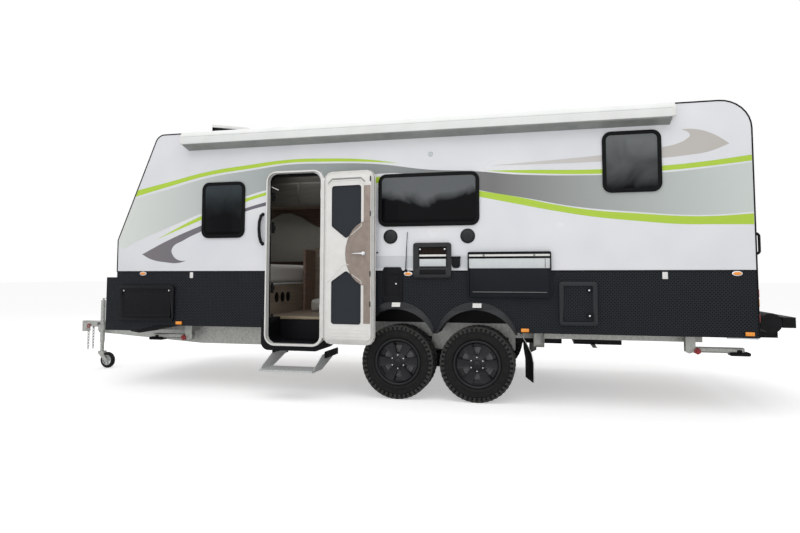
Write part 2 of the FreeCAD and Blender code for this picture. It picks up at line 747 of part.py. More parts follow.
def leaf_pack(name, axle_x, y):
    """Four leaves on one centre, each shorter than the one above, with rolled eyes."""
    thick = float(size.leaf_thickness)
    half_span = float(size.spring_half)
    main_low = float(wheel_height + size.axle_beam / 2) + 3.5 * thick
    rise = float(size.spring_eye_height) - main_low
    radius = (half_span ** 2 + rise ** 2) / (2 * rise)
    hub = Vector(0, 0, main_low + radius)
    eye_angle = math.asin(half_span / radius)

    leaf_ends = [eye_angle * (1 - 0.26 * leaf) for leaf in range(4)]
    over_flat = 1 / math.cos(leaf_ends[-1])

    def at(distance, turn):
        return hub + Vector(math.sin(turn), 0, -math.cos(turn)) * distance * over_flat

    def bent_leaf(number):
        """One leaf, straight from the end of one shorter leaf to the end of the next."""
        right = list(reversed(leaf_ends[number:]))
        bends = [-turn for turn in reversed(right)] + right
        under = [at(radius + (number + 0.5) * thick, turn) for turn in bends]
        over = [at(radius + (number - 0.5) * thick, turn) for turn in reversed(bends)]
        face = Part.Face(Part.makePolygon([*under, *over, under[0]]))
        return face.extrude(Vector(0, float(size.spring_width), 0))

    shape = bent_leaf(0)
    for number in range(1, 4):
        shape = shape.fuse(bent_leaf(number))
    for end in (-1, 1):
        eye = Vector(end * half_span, 0, float(size.spring_eye_height))
        rolled, bore = [flat_disc(eye_radius, 0, size.spring_width, 12) for eye_radius in (2 * thick, thick)]
        rolled.translate(eye)
        bore.translate(eye)
        shape = shape.fuse(rolled).cut(bore)
    piece = doc.addObject("Part::Feature", name)
    piece.Shape = shape.removeSplitter()
    place(piece, axle_x, y - size.spring_width / 2)
    return piece


packs = [leaf_pack("spring", axle_x, side * spring_y) for axle_x in axle_xs.values() for side in (-1, 1)]
node("leaf_springs", group("springs", *packs))

hanger_plate = size.leaf_thickness
hanger_gap = size.spring_width / 2 + 1
eye_pin = 2 * size.leaf_thickness - 2 * size.pin_gap


def hanger(name, x, reach):
    """Two cheeks under the rail with the pins that hold the spring eyes."""
    eyes = [x] if reach is None else [x - reach, x + reach]
    spread = 34
    cheeks = []
    for side in (-1, 1):
        near = -spring_y + side * (hanger_gap + hanger_plate / 2)
        cheeks.append(
            pad(
                name + "_cheek",
                "XZ",
                [
                    (eyes[0] - spread, size.rail_bottom),
                    (eyes[0] - spread, size.spring_eye_height - 20),
                    (x, size.spring_eye_height - 30),
                    (eyes[-1] + spread, size.spring_eye_height - 20),
                    (eyes[-1] + spread, size.rail_bottom),
                ],
                near - hanger_plate / 2,
                near + hanger_plate / 2,
            )
        )
    pins = [
        flat_sided(name + "_pin", (eye, -spring_y - hanger_gap - hanger_plate, size.spring_eye_height),
                   eye_pin, 2 * (hanger_gap + hanger_plate), "Y")
        for eye in eyes
    ]
    return fuse(name, *cheeks, *pins)


eye_front = axle_xs["front"] - size.spring_half
eye_rear = axle_xs["rear"] + size.spring_half
eye_middle = size.axle_spacing / 2 - size.spring_half
hangers = [
    hanger("front_hanger", eye_front, None),
    hanger("rocker", as_size(0), eye_middle),
    hanger("rear_hanger", eye_rear, None),
]

# Stabiliser legs at the corners, wound up flat, and their brackets
leg_y = rail_outer + size.leg_out
bracket_cheek = 5
bracket_half = size.leg_width / 2 + size.running_gap
bracket_reach = 45
bracket_top = rail_top - 60
leg_heel = 40
foot_set_back = 60


def leg_bracket(name, x, y):
    """Two cheeks and a plate out from the rail, with the leg's pivot pin."""
    pivot = size.leg_pivot_height
    ends = (x - bracket_reach, x + bracket_reach)
    outer = y - bracket_half - bracket_cheek
    cheeks = [
        box(name + "_cheek", ends, (face, face + bracket_cheek), (pivot - 35, bracket_top))
        for face in (outer, y + bracket_half)
    ]
    top = box(name + "_top", ends, (outer, -rail_outer), (bracket_top - bracket_cheek, bracket_top))
    pin = flat_sided(name + "_pin", (x, outer, pivot), size.leg_pin, 2 * (bracket_half + bracket_cheek),
                     "Y")
    return fuse(name, *cheeks, top, pin)


brackets = [
    leg_bracket("front_leg_bracket", -size.front_leg_x, -leg_y),
    leg_bracket("rear_leg_bracket", size.rear_leg_x, -leg_y),
]
near_brackets = group("near_brackets", *hangers, *brackets)
node("chassis_brackets", both_sides("brackets", near_brackets))


def stabiliser(name, x, y, forward):
    """An arm that lies along the chassis, with a foot near its end."""
    pivot = size.leg_pivot_height
    arm_under = pivot - size.leg_depth / 2
    heel, tip = x - forward * leg_heel, x + forward * size.leg_length
    limits = (heel, tip) if forward > 0 else (tip, heel)
    arm = box(name + "_arm", limits, (y - size.leg_width / 2, y + size.leg_width / 2),
              (arm_under, pivot + size.leg_depth / 2))
    bore = rod(name + "_bore", (x, y - size.leg_width, pivot), size.leg_pin + 2 * size.pin_gap,
               2 * size.leg_width, "Y")
    foot_x = tip - forward * foot_set_back
    foot = box(name + "_foot", (foot_x - size.foot_length / 2, foot_x + size.foot_length / 2),
               (y - size.foot_width / 2, y + size.foot_width / 2), (arm_under - size.foot_height, arm_under))
    return node(name, cut(name + "_cut", fuse(name + "_solid", arm, foot), bore))


for end, x, forward in (("front", -size.front_leg_x, -1), ("rear", size.rear_leg_x, 1)):
    for side, y in (("left", -leg_y), ("right", leg_y)):
        stabiliser(f"stabiliser_{end}_{side}", x, y, forward)

# Wheels
bead = size.rim_diameter / 2
tyre_half = size.tyre_width / 2
shoulder_height = wheel_height - size.shoulder_rise
tread_lugs = 42


def tyre_ring(y, to_flat):
    """A closed ring with one flat for each lug of the tread, and a flat on the ground."""
    half_turn = math.pi / tread_lugs
    corner = float(to_flat) / math.cos(half_turn)
    turns = [half_turn * (2 * lug + 1) for lug in range(tread_lugs + 1)]
    return Part.makePolygon(
        [Vector(corner * math.sin(turn), float(y), -corner * math.cos(turn)) for turn in turns]
    )


def tyre_solid():
    """Sidewalls, bevelled shoulders and a flat tread round the bead's bore."""
    tread_half = tyre_half - size.shoulder_run
    rings = [
        tyre_ring(-tyre_half, shoulder_height),
        tyre_ring(-tread_half, wheel_height),
        tyre_ring(tread_half, wheel_height),
        tyre_ring(tyre_half, shoulder_height),
    ]
    body = Part.makeLoft(rings, True, True)
    return wheel_piece("tyre", body.cut(flat_disc(bead, -tyre_half, tyre_half)))


rim_edge = bead - size.pin_gap
rim_inside = rim_edge - size.rim_skin
spoke_face = -size.disc_inset - size.spoke_depth
boss_face = spoke_face - size.hub_rise
window_root, window_tip = 104, float(rim_inside) - 16
root_half, tip_half = 30, 66
spoke_count = 6


def rim_solid():
    """Barrel, disc and boss, with a window between each pair of spokes."""
    barrel = flat_disc(rim_edge, -size.rim_lip, size.rim_lip)
    for hollow in ((-size.rim_lip, spoke_face), (-size.disc_inset, size.rim_lip)):
        barrel = barrel.cut(flat_disc(rim_inside, *hollow))
    shape = barrel.fuse(flat_disc(size.hub_boss / 2, boss_face, spoke_face, 12))
    front = float(spoke_face)
    corners = [(-root_half, window_root), (root_half, window_root), (tip_half, window_tip),
               (-tip_half, window_tip), (-root_half, window_root)]
    window = Part.Face(Part.makePolygon([Vector(across, front, up) for across, up in corners]))
    opening = window.extrude(Vector(0, float(size.spoke_depth), 0))
    for _ in range(spoke_count):
        shape = shape.cut(opening)
        opening.rotate(Vector(), Vector(0, 1, 0), 360 / spoke_count)
    return wheel_piece("rim", shape)


for end, axle_x in axle_xs.items():
    for side, way in (("left", -1), ("right", 1)):
        wheel_y = way * wheel_track / 2
        tyre = node(f"tyre_{end}_{side}", tyre_solid())
        place(tyre, axle_x, wheel_y, wheel_height)
        rim = node(f"rim_{end}_{side}", rim_solid())
        rim.Placement = Placement(Vector(), Rotation(Vector(0, 0, 1), 0 if way < 0 else 180))
        place(rim, axle_x, wheel_y, wheel_height)

# Water tanks between the rails, and mud flaps behind the wheels
tanks = [
    pad(
        "tank",
        "YZ",
        rectangle(size.panel_gap - rail_inner, rail_inner - size.panel_gap, size.tank_bottom,
                  size.tank_bottom + size.tank_height, 30),
        x,
        x + size.tank_length,
    )
    for x in (size.front_tank_x, size.rear_tank_x)
]
node("water_tanks", group("tanks", *tanks))

flap_top = size.skirt_bottom - 10
flap_root = size.axle_spacing / 2 + 453
flap_skin, flap_sweep, flap_trail = 8, 91, 109
flap_waist, flap_foot = flap_top - 193, flap_top - 498
flap_inner = 133 - wheel_track / 2
flap = pad(
    "flap",
    "XZ",
    [
        (flap_root, flap_top),
        (flap_root + flap_skin, flap_top),
        (flap_root + flap_sweep + flap_skin, flap_waist, 300),
        (flap_root + flap_trail + flap_skin, flap_foot),
        (flap_root + flap_trail, flap_foot),
        (flap_root + flap_sweep, flap_waist, 300),
    ],
    -wheel_track / 2 - 117.5,
    flap_inner,
)
flap_arm = box("flap_arm", (flap_root + 7, flap_root + 32), (flap_inner - 80, -rail_outer),
               (flap_top - 40, flap_top - 10))
node("mud_flaps", both_sides("flaps", fuse("flap_hung", flap, flap_arm)))

# Rear arms, bar and hose tube
tube_bottom = size.hose_tube_height - size.hose_tube_diameter / 2
arm_top = rail_top - 65
arm = pad(
    "arm",
    "XZ",
    [
        (first_member + size.cross_member_width, size.arm_bottom),
        (tail_reach - size.rear_bar_depth, size.arm_bottom),
        (tail_reach - size.rear_bar_depth, size.rear_bar_bottom + size.rear_bar_height),
        (tail_reach - size.rear_bar_depth - 70, size.rear_bar_bottom + size.rear_bar_height),
        (tail_reach - size.rear_bar_depth - 70, tube_bottom),
        (size.body_rear + 12, tube_bottom),
        (size.body_rear + 12, arm_top),
        (first_member + size.cross_member_width, arm_top),
    ],
    -size.arm_half_track - size.arm_width / 2,
    -size.arm_half_track + size.arm_width / 2,
)
rear_bar = box(
    "bar",
    (tail_reach - size.rear_bar_depth, tail_reach),
    (-size.rear_bar_half, size.rear_bar_half),
    (size.rear_bar_bottom, size.rear_bar_bottom + size.rear_bar_height),
)
hose_tube = flat_sided(
    "hose_tube",
    (size.body_rear + size.hose_tube_out, -size.hose_tube_half, size.hose_tube_height + size.pin_gap),
    size.hose_tube_diameter,
    2 * size.hose_tube_half,
    "Y",
    24,
)
node("rear_bumper", group("bumper", both_sides("arms", arm), rear_bar, hose_tube))

# Floor, step well and wheel boxes
wall_inner = half_width - size.wall
well_inner_left = -size.well_left + 60
well_inner_right = -size.well_right - 28
box_inner = rail_outer + 5
near_edge = -wall_inner + size.panel_gap
floor_outline = [
    (-size.body_front + size.wall + size.panel_gap, near_edge),
    (-size.well_left, near_edge),
    (-size.well_left, -well_back + size.well_skin + size.panel_gap),
    (-size.well_right, -well_back + size.well_skin + size.panel_gap),
    (-size.well_right, near_edge),
    (-size.wheel_box_half - size.panel_gap, near_edge),
    (-size.wheel_box_half - size.panel_gap, -box_inner + size.panel_gap),
    (size.wheel_box_half + size.panel_gap, -box_inner + size.panel_gap),
    (size.wheel_box_half + size.panel_gap, near_edge),
    (size.body_rear - size.wall - size.panel_gap, near_edge),
    (size.body_rear - size.wall - size.panel_gap, -near_edge),
    (size.wheel_box_half + size.panel_gap, -near_edge),
    (size.wheel_box_half + size.panel_gap, box_inner - size.panel_gap),
    (-size.wheel_box_half - size.panel_gap, box_inner - size.panel_gap),
    (-size.wheel_box_half - size.panel_gap, -near_edge),
    (-size.body_front + size.wall + size.panel_gap, -near_edge),
]
node("floor_panel", pad("floor", "XY", floor_outline, rail_top, floor_top))

well_shell = cut(
    "well",
    pad(
        "well_outside",
        "XZ",
        [
            (-size.well_left, size.well_bottom, size.well_corner),
            (-size.well_right, size.well_bottom, size.well_corner),
            (-size.well_right, floor_top),
            (-size.well_left, floor_top),
        ],
        -half_width,
        -well_back + size.well_skin,
    ),
    pad(
        "well_inside",
        "XZ",
        [
            (well_inner_left, size.well_floor, 60),
            (well_inner_right, size.well_floor, 60),
            (well_inner_right, floor_top + 10),
            (well_inner_left, floor_top + 10),
        ],
        -half_width - 10,
        -well_back,
    ),
)

box_half = size.wheel_box_half
wheel_box = cut(
    "wheel_box",
    box("wheel_box_outside", (-box_half, box_half), (near_edge, -box_inner), (rail_top, size.wheel_box_top)),
    box(
        "wheel_box_inside",
        (size.wheel_box_skin - box_half, box_half - size.wheel_box_skin),
        (near_edge - 10, -box_inner - size.wheel_box_skin),
        (rail_top - 10, size.wheel_box_top - size.wheel_box_skin),
    ),
)
node("wheel_boxes", both_sides("wheel_box_pair", wheel_box))

# Side walls: white above the belt, checker plate below, cut for windows, door and wheels
windows = {
    "bedroom": (-size.bedroom_window_x, size.bedroom_window_drop, size.bedroom_window_length,
                size.bedroom_window_height),
    "dinette": (-size.dinette_window_x, size.dinette_window_drop, size.dinette_window_length,
                size.dinette_window_height),
    "ensuite": (size.ensuite_window_x, size.ensuite_window_drop, size.ensuite_window_length,
                size.ensuite_window_height),
}
window_limits = [
    (x, x + length, size.roof_height - drop, size.roof_height - drop + height)
    for x, drop, length, height in windows.values()
]
window_holes = [rectangle(*inset(limits, 14), size.window_corner - 14) for limits in window_limits]
rake_top = (size.rake_run - size.body_front, size.roof_height)
door_left, door_right = -size.door_frame_left, -size.door_frame_right
notch_left, notch_right = door_left + 20, door_right - 20
service_hole = (
    -size.service_front + size.lid_rim,
    size.service_length - size.service_front - size.lid_rim,
    size.service_bottom + size.lid_rim,
    size.service_bottom + size.service_height - size.lid_rim,
)
upper_outline_right = [
    (-size.body_front, size.belt_height),
    (size.body_rear, size.belt_height),
    (size.body_rear, size.roof_height, size.rear_corner),
    (*rake_top, size.front_corner),
    (-size.body_front, size.rake_start),
]
upper_outline_left = [
    (-size.body_front, size.belt_height),
    (notch_left, size.belt_height),
    (notch_left, door_frame_top - 20, size.door_corner - 20),
    (notch_right, door_frame_top - 20, size.door_corner - 20),
    (notch_right, size.belt_height),
    *upper_outline_right[1:],
]
node(
    "side_wall_left",
    pad("upper_left", "XZ", upper_outline_left, -half_width, -wall_inner,
        [*window_holes, rectangle(*service_hole)]),
)
node("side_wall_right", pad("upper_right", "XZ", upper_outline_right, wall_inner, half_width, window_holes))

belt_seam = size.belt_height - size.panel_gap
boot_front = -size.body_front - size.boot_reach
boot_back = boot_front + size.boot_length
boot_hole = (
    -size.boot_lid_front + size.lid_rim,
    size.boot_lid_length - size.boot_lid_front - size.lid_rim,
    floor_top + 4,
    size.boot_lid_bottom + size.boot_lid_height - size.lid_rim,
)
locker_hole = (
    size.locker_front + size.lid_rim,
    size.locker_front + size.locker_length - size.lid_rim,
    size.locker_bottom + size.lid_rim,
    size.locker_bottom + size.locker_height - size.lid_rim,
)
battery_hole = (
    -size.battery_front + size.lid_rim,
    size.battery_length - size.battery_front - size.lid_rim,
    size.battery_bottom + size.lid_rim,
    size.battery_bottom + size.battery_height - size.lid_rim,
)
skirt_front_edge = [
    (-size.body_front, belt_seam),
    (-size.body_front, size.boot_top),
    (boot_front, size.boot_top),
    (boot_front, size.boot_bottom),
    (boot_back, size.boot_bottom),
    (boot_back + 260, size.skirt_bottom),
]
front_skirt_left = pad(
    "front_skirt_left",
    "XZ",
    [*skirt_front_edge, (-size.well_left - size.panel_gap, size.skirt_bottom),
     (-size.well_left - size.panel_gap, floor_top + size.panel_gap),
     (notch_left, floor_top + size.panel_gap), (notch_left, belt_seam)],
    -half_width,
    -wall_inner,
    [rectangle(*boot_hole)],
)
rear_skirt_left = pad(
    "rear_skirt_left",
    "XZ",
    [
        (notch_right, belt_seam),
        (notch_right, floor_top + size.panel_gap),
        (-size.well_right + 1, floor_top + size.panel_gap),
        (-size.well_right + 1, size.skirt_bottom),
        (size.body_rear, size.skirt_bottom),
        (size.body_rear, belt_seam),
    ],
    -half_width,
    -wall_inner,
    [rectangle(*locker_hole), rectangle(*battery_hole)],
)
skirt_right = pad(
    "skirt_right",
    "XZ",
    [*skirt_front_edge, (size.body_rear, size.skirt_bottom), (size.body_rear, belt_seam)],
    wall_inner,
    half_width,
    [rectangle(*boot_hole)],
)


arch_flats = 36


def arch_cuts(y):
    return [
        flat_sided("arch_cut", (axle_x, y, size.arch_centre_height), 2 * size.arch_radius, size.wall + 2,
                   "Y", arch_flats)
        for axle_x in axle_xs.values()
    ]


rear_skirt_arched = cut("rear_skirt_arched", rear_skirt_left, *arch_cuts(-half_width - 1))
node("side_skirt_left", group("skirt_left", front_skirt_left, rear_skirt_arched))
node("side_skirt_right", cut("skirt_right_arched", skirt_right, *arch_cuts(wall_inner - 1)))

flare_rings = [
    flat_sided("flare", (axle_x, -half_width - size.flare_proud, size.flare_centre_height),
               2 * size.flare_radius, size.flare_proud - size.panel_gap, "Y", arch_flats)
    for axle_x in axle_xs.values()
]
flare_cuts = [
    flat_sided("flare_cut", (axle_x, -half_width - size.flare_proud - 1, size.arch_centre_height),
               2 * size.arch_radius, size.flare_proud + 2, "Y", arch_flats)
    for axle_x in axle_xs.values()
]
flare_floor = box("flare_floor", (-1500, 1500), (-half_width - size.flare_proud - 1, -half_width + 1),
                  (0, size.flare_bottom))
flares = cut("flares", fuse("flare_pair", *flare_rings), *flare_cuts, flare_floor)
node("wheel_arch_flares", both_sides("arch_flares", flares))

# Front wall, front boot, roof and rear wall between the side walls
seam = size.panel_gap
front_x = -size.body_front
roof_under = size.roof_height - size.roof_thickness
roof_front = rake_top[0] + 150
rake_slope = size.rake_run / (size.roof_height - size.rake_start)
rake_inner_x = rake_top[0] + size.wall - size.roof_thickness * rake_slope
node(
    "front_wall",
    pad(
        "front",
        "XZ",
        [
            (front_x, size.boot_top),
            (front_x, size.rake_start),
            (*rake_top, size.front_corner),
            (roof_front, size.roof_height),
            (roof_front, roof_under),
            (rake_inner_x, roof_under),
            (front_x + size.wall, size.rake_start),
            (front_x + size.wall, size.boot_top),
        ],
        -wall_inner + seam,
        wall_inner - seam,
    ),
)
node(
    "front_boot",
    pad(
        "boot",
        "XZ",
        [
            (front_x + size.wall, size.boot_top - seam),
            (boot_front, size.boot_top - seam),
            (boot_front, size.boot_bottom),
            (boot_back - seam, size.boot_bottom),
            (boot_back - seam, size.boot_bottom + size.boot_skin),
            (boot_front + size.boot_skin, size.boot_bottom + size.boot_skin),
            (boot_front + size.boot_skin, size.boot_top - seam - size.boot_skin),
            (front_x + size.wall, size.boot_top - seam - size.boot_skin),
        ],
        -wall_inner + seam,
        wall_inner - seam,
    ),
)
roof_back = size.body_rear - size.rear_corner - 40
node(
    "roof_panel",
    box("roof", (roof_front + seam, roof_back - seam), (-wall_inner + seam, wall_inner - seam),
        (roof_under, size.roof_height)),
)
node(
    "rear_wall",
    pad(
        "rear",
        "XZ",
        [
            (roof_back, size.roof_height),
            (size.body_rear, size.roof_height, size.rear_corner),
            (size.body_rear, size.belt_height),
            (size.body_rear - size.wall, size.belt_height),
            (size.body_rear - size.wall, roof_under, size.rear_corner - size.wall),
            (roof_back, roof_under),
        ],
        -wall_inner + seam,
        wall_inner - seam,
    ),
)
node(
    "rear_skirt",
    box("rear_lower", (size.body_rear - size.wall, size.body_rear), (-wall_inner + seam, wall_inner - seam),
        (size.skirt_bottom, belt_seam)),
)

# Door frame, door leaf with its screen door, handle and hinge
proud = half_width + size.door_frame_proud
frame_limits = (door_left, door_right, size.door_frame_bottom, door_frame_top)
opening_limits = inset(frame_limits, size.door_frame_rim)
opening_corner = size.door_corner - size.door_frame_rim
frame_face = pad(
    "door_frame_face",
    "XZ",
    rectangle(*frame_limits, size.door_corner),
    -proud,
    -half_width - size.panel_gap,
    [rectangle(*opening_limits, opening_corner)],
)
sleeve_limits = (notch_left + 5 + 2, notch_right - 5 - 2, size.well_floor + 5, door_frame_top - 25)
frame_sleeve = pad(
    "door_frame_sleeve",
    "XZ",
    rectangle(*sleeve_limits, size.door_corner - 30),
    -half_width - size.panel_gap,
    -wall_inner,
    [rectangle(*opening_limits, opening_corner)],
)
hinge_x = door_right + 4
hinge_y = -(proud + size.running_gap + size.door_skin)
door_pin_stubs = []
knuckle_heights = [900, 1500, 2150]
knuckle_length = 90
for height in knuckle_heights:
    pin = flat_sided("door_pin", (hinge_x, hinge_y, height - 25), size.door_pin, knuckle_length + 50,
                     "Z")
    ears = [
        box("hinge_ear", (hinge_x - 8, hinge_x + 8), (hinge_y - 8, -half_width - size.panel_gap),
            (z, z + 24))
        for z in (height - 25, height + knuckle_length + 1)
    ]
    door_pin_stubs.extend([pin, *ears])
node("door_frame", fuse("door_frame_all", frame_face, frame_sleeve, *door_pin_stubs))


def closed_door():
    """The leaf as it lies in its frame, before it is turned open about the hinge."""
    leaf_limits = inset(opening_limits, -size.door_overlap)
    leaf_out = -(proud + size.running_gap + size.door_skin)
    rim = pad("leaf_rim", "XZ", rectangle(*leaf_limits, opening_corner + size.door_overlap), leaf_out,
              leaf_out + size.door_skin)
    plug_limits = inset(opening_limits, size.running_gap + 2)
    plug = pad("leaf_plug", "XZ", rectangle(*plug_limits, opening_corner - size.running_gap), leaf_out + 1,
               leaf_out + size.door_skin + size.door_depth)
    barrels = []
    for height in knuckle_heights:
        barrels.append(flat_sided("leaf_knuckle", (hinge_x, hinge_y, height), 18, knuckle_length, "Z"))
        barrels.append(box("leaf_strap", (leaf_limits[1] - 30, hinge_x), (hinge_y, hinge_y + 9),
                           (height, height + knuckle_length)))
    bores = [
        rod("knuckle_bore", (hinge_x, hinge_y, height - 1), size.door_pin + 2 * size.pin_gap,
            knuckle_length + 2, "Z")
        for height in knuckle_heights
    ]
    return cut("leaf", fuse("leaf_solid", rim, plug, *barrels), *bores)


def closed_screen():
    """The moulded screen door on the leaf's inner side, with its two mesh openings."""
    screen_limits = inset(opening_limits, size.running_gap + 22)
    leaf_in = -(proud + size.running_gap) + size.door_depth
    left, right, bottom, top = screen_limits
    mesh_left, mesh_right = left + 75, right - 60
    point = (mesh_left + mesh_right) / 2
    upper_top, upper_shoulder, upper_point = top - 115, top - 560, top - 697
    lower_foot, lower_shoulder, lower_point = bottom + 155, bottom + 605, bottom + 725
    upper = [
        (mesh_left, upper_top, 20),
        (mesh_right, upper_top, 20),
        (mesh_right, upper_shoulder, 20),
        (point, upper_point, 20),
        (mesh_left, upper_shoulder, 20),
    ]
    lower = [
        (mesh_left, lower_foot, 20),
        (mesh_right, lower_foot, 20),
        (mesh_right, lower_shoulder, 20),
        (point, lower_point, 20),
        (mesh_left, lower_shoulder, 20),
    ]
    return pad("screen", "XZ", rectangle(*screen_limits, opening_corner - 28), leaf_in + seam,
               leaf_in + seam + size.screen_door, [upper, lower])


def closed_lever():
    height = 1500
    left = opening_limits[0] + 90
    deep = -(proud + size.running_gap) + size.door_depth + seam + size.screen_door + seam
    return fuse(
        "lever",
        flat_sided("lever_boss", (left, deep, height), 44, 26, "Y", 12),
        box("lever_bar", (left - 10, left + 115), (deep + 14, deep + 26), (height - 9, height + 9)),
    )


def swung(name, piece):
    """Turn a piece of the closed door about the hinge pin to where it stands open."""
    hinge = Vector(float(middle + hinge_x), float(centre + hinge_y), 0)
    turn = Placement(Vector(), Rotation(Vector(0, 0, 1), float(size.door_open_angle)), hinge)
    doc.recompute()
    opened = doc.addObject("Part::Feature", name)
    opened.Shape = piece.Shape.copy()
    opened.Placement = turn * opened.Placement
    return node(name, opened)


swung("entry_door", closed_door())
swung("screen_door", closed_screen())
swung("door_lever", closed_lever())

# Entry step that slides out from under the step well
runner_top = size.well_bottom - 10
slide_rail_width = 18
tread_bottom = size.step_tread_top - 22
cheek_plate = 6
tread = box(
    "tread",
    (-size.step_left, -size.step_right),
    (-size.step_reach, -size.step_reach + size.step_tread_depth),
    (tread_bottom, size.step_tread_top),
)
step_cheeks = [
    pad(
        "step_cheek",
        "YZ",
        [
            (-size.step_reach + 60, tread_bottom),
            (-size.step_reach + size.step_tread_depth, tread_bottom),
            (-well_back - 40, runner_top - 50),
            (-well_back - 40, runner_top - 14),
            (-size.step_reach + size.step_tread_depth + 20, runner_top - 14),
            (-size.step_reach + 60, size.step_tread_top + 20),
        ],
        x,
        x + cheek_plate,
    )
    for x in (-size.step_left, -size.step_right - cheek_plate)
]
node("entry_step", fuse("step", tread, *step_cheeks))
step_rails = [
    box("step_rail", (x, x + slide_rail_width), (-half_width + 10, -well_back + 20),
        (runner_top - 60, size.well_bottom - size.panel_gap))
    for x in (-size.step_left - size.pin_gap - slide_rail_width, -size.step_right + size.pin_gap)
]
node("step_well", group("well_and_runners", well_shell, *step_rails))

# Windows: a frame proud of the wall on each opening, with a dark pane inside it
window_rings, window_panes = [], []
for limits in window_limits:
    glass_limits = inset(limits, size.window_rim)
    glass_corner = size.window_corner - size.window_rim
    window_rings.append(
        pad("window_ring", "XZ", rectangle(*limits, size.window_corner), -half_width - size.window_proud,
            -half_width - seam, [rectangle(*glass_limits, glass_corner)])
    )
    pane_limits = inset(glass_limits, seam)
    window_panes.append(
        pad("glass", "XZ", rectangle(*pane_limits, glass_corner - seam), -half_width - size.window_proud / 2,
            -half_width - size.window_proud / 2 + size.pane)
    )
node("window_frames", both_sides("rings", group("near_rings", *window_rings)))
node("window_panes", both_sides("panes", group("near_panes", *window_panes)))

# Lids on the outside lockers: a frame with a hinge pin along its lower edge, and the lid on it
lid_face = -half_width - seam
lid_out = lid_face - size.lid - size.running_gap


def lid_frame(limits):
    """The frame round a lid, with the pin between its two lower ears."""
    hole = inset(limits, size.lid_rim)
    ring = pad("lid_ring", "XZ", rectangle(*limits, size.lid_corner), lid_out, lid_face, [rectangle(*hole)])
    pin_height = hole[2] + size.lid_pin + 2
    pin = flat_sided("lid_pin", (hole[0], lid_out + size.lid_pin, pin_height), size.lid_pin,
                     hole[1] - hole[0], "X")
    return fuse("lid_frame", ring, pin)


def lid_leaf(label, limits):
    """The lid inside its frame, with a barrel round the pin."""
    hole = inset(limits, size.lid_rim)
    left, right, bottom, top = inset(hole, size.running_gap)
    pin_height = hole[2] + size.lid_pin + 2
    pin_y = lid_out + size.lid_pin
    plate = box(label + "_plate", (left, right), (lid_out, lid_out + size.lid - 4), (pin_height, top))
    barrel = flat_sided(label + "_barrel", (left, pin_y, pin_height), size.lid_pin * 2, right - left, "X")
    bore = rod(label + "_bore", (left - 1, pin_y, pin_height), size.lid_pin + 2 * size.pin_gap,
               right - left + 2, "X")
    return cut(label + "_lid", fuse(label + "_solid", plate, barrel), bore)


boot_limits = (
    -size.boot_lid_front,
    size.boot_lid_length - size.boot_lid_front,
    size.boot_lid_bottom,
    size.boot_lid_bottom + size.boot_lid_height,
)
locker_limits = (
    size.locker_front,
    size.locker_front + size.locker_length,
    size.locker_bottom,
    size.locker_bottom + size.locker_height,
)
service_limits = (
    -size.service_front,
    size.service_length - size.service_front,
    size.service_bottom,
    size.service_bottom + size.service_height,
)
battery_limits = (
    -size.battery_front,
    size.battery_length - size.battery_front,
    size.battery_bottom,
    size.battery_bottom + size.battery_height,
)
boot_frame = lid_frame(boot_limits)
frames = [boot_frame, mirror("boot_frame_far", boot_frame)]
frames.extend(lid_frame(limits) for limits in (locker_limits, service_limits, battery_limits))
node("lid_frames", group("lid_surrounds", *frames))
boot_lid = node("boot_lid_left", lid_leaf("boot", boot_limits))
node("boot_lid_right", mirror("boot_lid_far", boot_lid))
node("locker_lid", lid_leaf("locker", locker_limits))
node("service_lid", lid_leaf("service", service_limits))
node("battery_lid", lid_leaf("battery", battery_limits))

# Picnic table folded against the wall on two lower hinge ears
table_left = size.table_front
table_right = size.table_front + size.table_length
table_out = lid_face - size.running_gap - size.table_thickness
table_pin_y = table_out + size.table_pin
table_pin_z = size.table_bottom + 2 * size.table_pin
ear_inset = 40
ear_width = 30
ear_places = (table_left + ear_inset, table_right - ear_inset - ear_width)
pin_reach = 24
table_ears = [
    fuse(
        "table_hinge",
        box("table_ear", (x, x + ear_width), (table_pin_y - size.table_pin, lid_face),
            (table_pin_z - 14, table_pin_z + size.table_pin)),
        flat_sided("table_pin", (x - pin_reach, table_pin_y, table_pin_z), size.table_pin,
                   ear_width + 2 * pin_reach, "X"),
    )
    for x in ear_places
]
table_notches = [
    box("table_notch", (x - size.running_gap, x + ear_width + size.running_gap),
        (table_out - 5, lid_face), (table_pin_z - 30, table_pin_z + 26))
    for x in ear_places
]
table_bore = rod("table_bore", (table_left - 5, table_pin_y, table_pin_z),
                 size.table_pin + 2 * size.pin_gap, size.table_length + 10, "X")
table_board = box("table_board", (table_left, table_right), (table_out, table_out + size.table_thickness),
                  (size.table_bottom + 8, size.table_bottom + size.table_height))
node("picnic_table", cut("table", table_board, *table_notches, table_bore))

# Awning in its case along the top of the door side
awning_out = -half_width - size.awning_proud
case_limits = (-size.awning_front + size.awning_cap, size.awning_rear - size.awning_cap)
awning_bottom = size.roof_height - size.awning_drop
awning_top = size.roof_height - size.awning_below_roof
awning_profile = [
    (-half_width - seam, awning_bottom),
    (-half_width - seam, awning_top),
    (awning_out + 20, awning_top + 5, 20),
    (awning_out, awning_top - 40, 30),
    (awning_out, awning_bottom + 45, 8),
    (awning_out + 30, awning_bottom + 38),
]
awning_case = pad("awning_case", "YZ", awning_profile, case_limits[0] + seam, case_limits[1] - seam)
awning_caps = [
    pad("awning_cap", "YZ", awning_profile, x, x + size.awning_cap)
    for x in (-size.awning_front, case_limits[1])
]
node("awning_cassette", group("awning", awning_case, *awning_caps))

